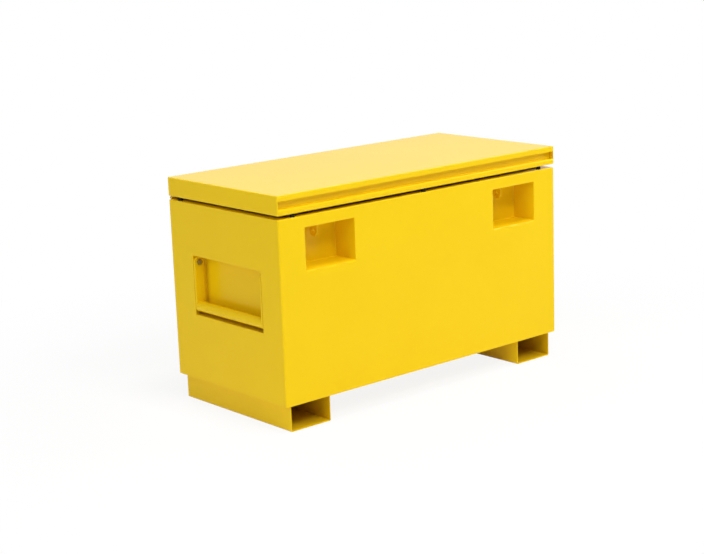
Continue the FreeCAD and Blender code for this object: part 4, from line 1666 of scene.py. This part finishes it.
# ---- gas struts ---------------------------------------------------------------------------
@dataclass
class GasStrut:
    """Pressure tube, polished rod and moulded eyes of one strut.

    The sections of the crimp and of a rib are points (depth under the surface, height). The tube's
    shoulder is (width, height), and ribs are their heights above the neck's start.
    """

    side: str
    tube: float = 9 * MM
    tube_edge: float = 1.5 * MM
    tube_shoulder: Flat = (2 * MM, 2.5 * MM)
    tube_steps: int = 36
    rod: float = 4 * MM
    rod_showing: float = 5 * MM
    rod_steps: int = 24
    wall: float = 1 * MM
    plug: float = 3 * MM
    gland: float = 20 * MM
    piston: float = 10 * MM
    fit: float = 0.3 * MM
    crimp_distance: float = 14 * MM
    crimp: Sequence[Flat] = ((0, 0), (0.8 * MM, 1 * MM), (0.8 * MM, 2.5 * MM), (0, 3.5 * MM))
    eye_reach: float = 22 * MM
    eye_radius: float = 8 * MM
    eye_width: float = 12 * MM
    eye_edge: float = 0.8 * MM
    eye_steps: int = 28
    stud: float = 4 * MM
    stud_room: float = 0.06 * MM
    neck: float = 5 * MM
    neck_sunk: float = 1.2 * MM
    neck_rim: float = 1 * MM
    neck_steps: int = 24
    ribs: Sequence[float] = (2 * MM, 5.6 * MM, 9.2 * MM)
    rib: Sequence[Flat] = ((0.8 * MM, -1 * MM), (0, 0), (0, 1.4 * MM), (0.8 * MM, 2.2 * MM))

    def build(self) -> None:
        """Build the four pieces along the shut strut's line."""
        foot = joint_place(f"{self.side}_strut_swing")
        head = joint_place(f"{self.side}_strut_rod_swing")
        length = (head - foot).length
        up = (head - foot).normalized()
        across = Vector((1, 0, 0))
        third = up.cross(across)

        def place(u: float, v: float, w: float) -> Vector:
            """Point of the frame at (u, v) across the strut and w up along it."""
            return foot + across * u + third * v + up * w

        name = f"{self.side}_strut_"
        tube_body, rod_body = name + "tube", name + "piston_rod"
        low, high = self.eye_reach, length - self.eye_reach
        line = self.tube_section(low, high - self.rod_showing)
        solid = turned(line, place, self.tube_steps)
        finish_piece(name + "pressure_tube", solid, ENAMEL, tube_body, name + "cylinder")
        piston, start = self.tube - self.wall - self.fit, low + self.plug + self.fit
        end = start + self.piston
        line = [
            (0, start), (piston, start), (piston, end), (self.rod, end), (self.rod, high), (0, high)
        ]
        solid = turned(line, place, self.rod_steps)
        finish_piece(name + "polished_rod", solid, CHROME, rod_body, name + "rod")
        for eye, body, centre, sign in (
            ("lower_eye", tube_body, 0.0, 1.0), ("upper_eye", rod_body, length, -1.0)
        ):
            solid = self.eye(place, centre, sign)
            finish_piece(name + eye + "_moulding", solid, NYLON, body, name + eye)

    def tube_section(self, low: float, top: float) -> list[Flat]:
        """Half section of the pressure tube, with its plug, gland and crimp.

        Args:
            low, top: its ends along the strut.

        Returns:
            (radius, w) points.
        """
        outer, inner, hole = self.tube, self.tube - self.wall, self.rod + self.fit
        edge, (width, height) = self.tube_edge, self.tube_shoulder
        crimp = [(outer - depth, top - self.crimp_distance + rise) for depth, rise in self.crimp]
        return [
            (0, low), (outer - edge, low), (outer, low + edge), *crimp, (outer, top - height),
            (outer - width, top), (hole, top), (hole, top - self.gland), (inner, top - self.gland),
            (inner, low + self.plug), (0, low + self.plug),
        ]

    def eye(self, place: Place, centre: float, sign: float) -> Skin:
        """Moulded eye: a ring round the stud and a ribbed neck.

        Args:
            place: turns (u, v, w) along the strut into a point of the frame.
            centre: w of the stud.
            sign: 1 where the neck runs up the strut, -1 where it runs down.

        Returns:
            A mesh of both.
        """
        reach, half, edge = self.eye_radius, self.eye_width / 2, self.eye_edge
        bore = self.stud + self.stud_room
        ring = turned([
            (bore, -half), (reach - edge, -half), (reach, edge - half), (reach, half - edge),
            (reach - edge, half), (bore, half), (bore, -half),
        ], lambda u, v, w: place(w, u, centre + v), self.eye_steps)
        start = self.eye_radius - self.neck_sunk
        line = [(0, start)]
        for at in self.ribs:
            line += [(self.neck - depth, start + at + rise) for depth, rise in self.rib]
        end = self.eye_reach
        line += [(self.neck, end - self.neck_rim), (self.neck, end), (0, end)]
        stem = turned(line, lambda u, v, w: place(u, v, centre + sign * w), self.neck_steps)
        return joined(ring, stem)


# ---- welds --------------------------------------------------------------------------------
@dataclass
class Welds:
    """Stitch welds that hold trays, skids and tab feet."""

    beads: BeadTree
    stitch: float = 40 * MM
    pause: float = 70 * MM
    radius: float = 2 * MM
    lift: float = 0.7 * MM
    skid_margin: float = 60 * MM
    tab_half: float = 3 * MM
    tab_foot: float = 4 * MM
    tab_margin: float = 2 * MM

    def stitches(self, start: Vector, end: Vector) -> list[list[Vector]]:
        """Short straight paths, evenly set along a line.

        Args:
            start, end: the line's ends.

        Returns:
            The paths' points.
        """
        line = end - start
        count = max(1, int((line.length + self.pause) / (self.stitch + self.pause)))
        step = (line.length - self.stitch) / count
        way = line.normalized()
        margins = [step / 2 + step * number for number in range(count)]
        return [[start + way * margin, start + way * (margin + self.stitch)] for margin in margins]

    def around(
        self, low: Flat, high: Flat, place: Callable[[float, float], Vector]
    ) -> list[list[Vector]]:
        """Stitches round a tray's mouth, just outside its walls.

        Args:
            low, high: corners of the mouth.
            place: turns (a, b) in its plane into a point of the frame.

        Returns:
            The stitches' points.
        """
        corners = [low, (high[0], low[1]), high, (low[0], high[1])]
        paths = []
        for (a, b), (c, d) in zip(corners, corners[1:] + corners[:1]):
            out_a = self.lift * ((a == c) * math.copysign(1, a - (low[0] + high[0]) / 2))
            out_b = self.lift * ((b == d) * math.copysign(1, b - (low[1] + high[1]) / 2))
            paths += self.stitches(place(a + out_a, b + out_b), place(c + out_a, d + out_b))
        return paths

    def build(self) -> None:
        """Lay the stitches of the body and the lid."""
        paths = []
        for side, sign in SIDES.items():
            low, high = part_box(f"{side}_skid")
            wall = sign * (min(abs(low.x), abs(high.x)) - self.lift)
            level = high.z - self.lift
            ends = (low.y + self.skid_margin, high.y - self.skid_margin)
            paths += self.stitches(*(Vector((wall, y, level)) for y in ends))
            low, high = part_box(f"{side}_handle_pan")
            mouth = sign * (max(abs(low.x), abs(high.x)) - self.lift)
            paths += self.around(
                (low.y, low.z), (high.y, high.z), lambda a, b: Vector((mouth, a, b))
            )
            low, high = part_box(f"{side}_lock_pocket")
            front = low.y + self.lift
            paths += self.around(
                (low.x, low.z), (high.x, high.z), lambda a, b: Vector((a, front, b))
            )
        self.beads.lay("body_weld_stitches", paths, "root", self.radius)
        self.lid()

    def lid(self) -> None:
        """Lay the beads that hold the lock tabs to their feet."""
        paths = []
        for side in SIDES:
            low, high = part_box(f"{side}_lock_tab")
            middle, half = (low.x + high.x) / 2, self.tab_half + self.lift
            level = high.z - self.tab_foot - self.lift
            ends = (low.y + self.tab_margin, high.y - self.tab_margin)
            paths += [[Vector((x, y, level)) for y in ends] for x in (middle - half, middle + half)]
        self.beads.lay("lid_weld_stitches", paths, "lid", self.radius)


# ---- studio -------------------------------------------------------------------------------
class Role(Enum):
    """Where a lamp hangs."""

    OVERHEAD = "overhead"
    FRONT_HIGH = "front_high"
    RIGHT = "right"
    FRONT_LEFT = "front_left"
    LEFT_LOW = "left_low"
    LEFT_HIGH = "left_high"
    BACK = "back"


@dataclass(frozen=True)
class SoftLamp:
    """Square soft lamp that looks at the box's middle.

    Args:
        role: where it hangs.
        bearing: degrees from the box's front, to the right.
        rise: degrees above the floor.
        distance: from the box's middle.
        size: its side.
        level: light on a surface that faces it, as a share of what shows white as white.
    """

    role: Role
    bearing: float
    rise: float
    distance: float
    size: float
    level: float

    def hang(self, middle: Vector) -> None:
        """Add the lamp to the scene.

        Args:
            middle: the box's middle.
        """
        bearing, rise = math.radians(self.bearing), math.radians(self.rise)
        flat = math.cos(rise)
        way = Vector((flat * math.sin(bearing), -flat * math.cos(bearing), math.sin(rise)))
        lamp = bpy.data.lights.new(self.role.value, "AREA")
        lamp.shape = "SQUARE"
        lamp.size = self.size
        lamp.energy = self.level * (math.pi * self.distance) ** 2
        obj = bpy.data.objects.new(self.role.value, lamp)
        obj.location = middle + way * self.distance
        obj.rotation_euler = (-way).to_track_quat("-Z", "Y").to_euler()
        bpy.context.scene.collection.objects.link(obj)
        log.info("lamp %s", self.role.value)


@dataclass
class Studio:
    """White sweep, soft lamps and the camera."""

    lamps: Sequence[SoftLamp] = (
        SoftLamp(Role.OVERHEAD, 0, 75, 8.0, 1.6, 0.335),
        SoftLamp(Role.FRONT_HIGH, 0, 45, 8.0, 1.6, 0.225),
        SoftLamp(Role.RIGHT, 60, 25, 4.5, 2.0, 0.265),
        SoftLamp(Role.FRONT_LEFT, -30, 45, 8.0, 4.0, 0.305),
        SoftLamp(Role.LEFT_LOW, -90, 25, 8.0, 4.0, 0.206),
        SoftLamp(Role.LEFT_HIGH, -90, 55, 8.0, 4.0, 0.057),
        SoftLamp(Role.BACK, 180, 60, 8.0, 4.0, 0.212),
    )
    middle: tuple[float, float, float] = (0.0, 0.0, 0.4)
    ambient: float = 0.01
    floor_size: float = 30.0
    floor_step: float = 1.0
    floor_tones: Flat = (0.93, 0.95)
    floor_patches: float = 3.0
    floor_detail: float = 2.0
    floor_roughness: float = 0.9
    near_white: float = 0.87
    fade: Flat = (0.9, 2.0)
    lens: float = 82.633
    sensor: float = 36.0
    sight: float = 100.0
    position: tuple[float, float, float] = (-3.52502, -4.04899, 1.59568)
    bearing: float = 40.3674
    dip: float = 13.0575
    roll: float = -2.1251

    def build(self) -> None:
        """Set the stage."""
        self.backdrop()
        self.floor()
        for lamp in self.lamps:
            lamp.hang(Vector(self.middle))
        self.camera()
        bpy.context.scene.view_settings.view_transform = "Standard"

    def seen(self, graph: Graph) -> Socket:
        """Tell the rays that show the surroundings: straight, mirrored or through glass.

        Args:
            graph: tree that gets the nodes.

        Returns:
            A socket with 1 for those rays and 0 for others.
        """
        rays = graph.add("ShaderNodeLightPath").outputs
        either = graph.calc("MAXIMUM", rays["Is Camera Ray"], rays["Is Glossy Ray"])
        return graph.calc("MAXIMUM", either, rays["Is Transmission Ray"])

    def backdrop(self) -> None:
        """World that shows as white and lights the box as a plain sky."""
        world = bpy.data.worlds.new("sweep")
        world.use_nodes = True
        bpy.context.scene.world = world
        graph = Graph(world.node_tree)
        world.node_tree.nodes.clear()
        light, white = (
            graph.add("ShaderNodeBackground", {"Color": WHITE, "Strength": strength}).outputs[0]
            for strength in (self.ambient, 1.0)
        )
        mixed = graph.add("ShaderNodeMixShader", {0: self.seen(graph), 1: light, 2: white})
        graph.add("ShaderNodeOutputWorld", {"Surface": mixed.outputs[0]})

    def floor(self) -> None:
        """Pale floor that takes the box's shadow and turns to plain white away from it."""
        bm = bmesh.new()
        half = self.floor_size / 2
        marks = spread([-half, half], self.floor_step)
        weave(bm, [[Vector((x, y, 0.0)) for x in marks] for y in marks], closed=False)
        mesh = as_mesh("studio_floor", bm)
        obj = place_object("studio_floor", mesh)
        material = bpy.data.materials.new("studio_floor_paint")
        material.use_nodes = True
        graph = Graph(material.node_tree)
        shader = material.node_tree.nodes["Principled BSDF"]
        place = graph.add("ShaderNodeTexCoord").outputs["Object"]
        tones = [(level, level, level) for level in self.floor_tones]
        tone = graph.blend(place, self.floor_patches, self.floor_detail, tones)
        graph.tree.links.new(tone, shader.inputs["Base Color"])
        shader.inputs["Roughness"].default_value = self.floor_roughness
        shader.inputs["Specular IOR Level"].default_value = 0.0
        away = graph.add("ShaderNodeVectorMath", {0: place}, operation="LENGTH").outputs["Value"]
        near, far = self.fade
        whiter = graph.add(
            "ShaderNodeMapRange",
            {"Value": away, "From Min": near, "From Max": far, "To Min": self.near_white,
             "To Max": 1.0},
            interpolation_type="SMOOTHSTEP",
        )
        share = graph.calc("MULTIPLY", whiter.outputs["Result"], self.seen(graph))
        white = graph.add("ShaderNodeEmission", {"Color": WHITE, "Strength": 1.0})
        values = {0: share, 1: shader.outputs[0], 2: white.outputs[0]}
        mixed = graph.add("ShaderNodeMixShader", values)
        output = material.node_tree.nodes["Material Output"]
        graph.tree.links.new(mixed.outputs[0], output.inputs["Surface"])
        mesh.materials.append(material)

    def camera(self) -> None:
        """Camera at the viewing angle."""
        data = bpy.data.cameras.new("camera")
        data.lens = self.lens
        data.sensor_width = self.sensor
        data.clip_end = self.sight
        obj = bpy.data.objects.new("camera", data)
        turn = (
            Matrix.Rotation(math.radians(-self.bearing), 4, "Z")
            @ Matrix.Rotation(math.radians(90 - self.dip), 4, "X")
            @ Matrix.Rotation(math.radians(self.roll), 4, "Z")
        )
        obj.matrix_world = Matrix.Translation(self.position) @ turn
        bpy.context.scene.collection.objects.link(obj)
        bpy.context.scene.camera = obj


def dress_remaining_nodes() -> None:
    """Give the nodes that stay as they are the finish of their slot."""
    slots = {part["node"]: part["material_slot"] for part in frame["record"]["subparts"]}
    for name, obj in frame["nodes"].items():
        if obj.hide_render:
            continue
        obj.data.materials.clear()
        obj.data.materials.append(FINISHES[slots[name]].material())
        log.info("%s keeps its own shape", name)


def main() -> None:
    """Build the box's looks and the studio round it."""
    logging.basicConfig(level=logging.INFO, format="%(name)s: %(message)s")
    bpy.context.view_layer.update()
    beads = BeadTree()
    BodyShell().build()
    Trays().build()
    Lid().build()
    for side in SIDES:
        DropHandle(side, beads).build()
        GasStrut(side).build()
    copies = SetTree()
    PivotHardware(copies).build()
    RimBumpers(copies).build()
    PianoHinge(KnuckleTree()).build()
    Welds(beads).build()
    dress_remaining_nodes()
    Studio().build()


if __name__ == "__main__":
    main()
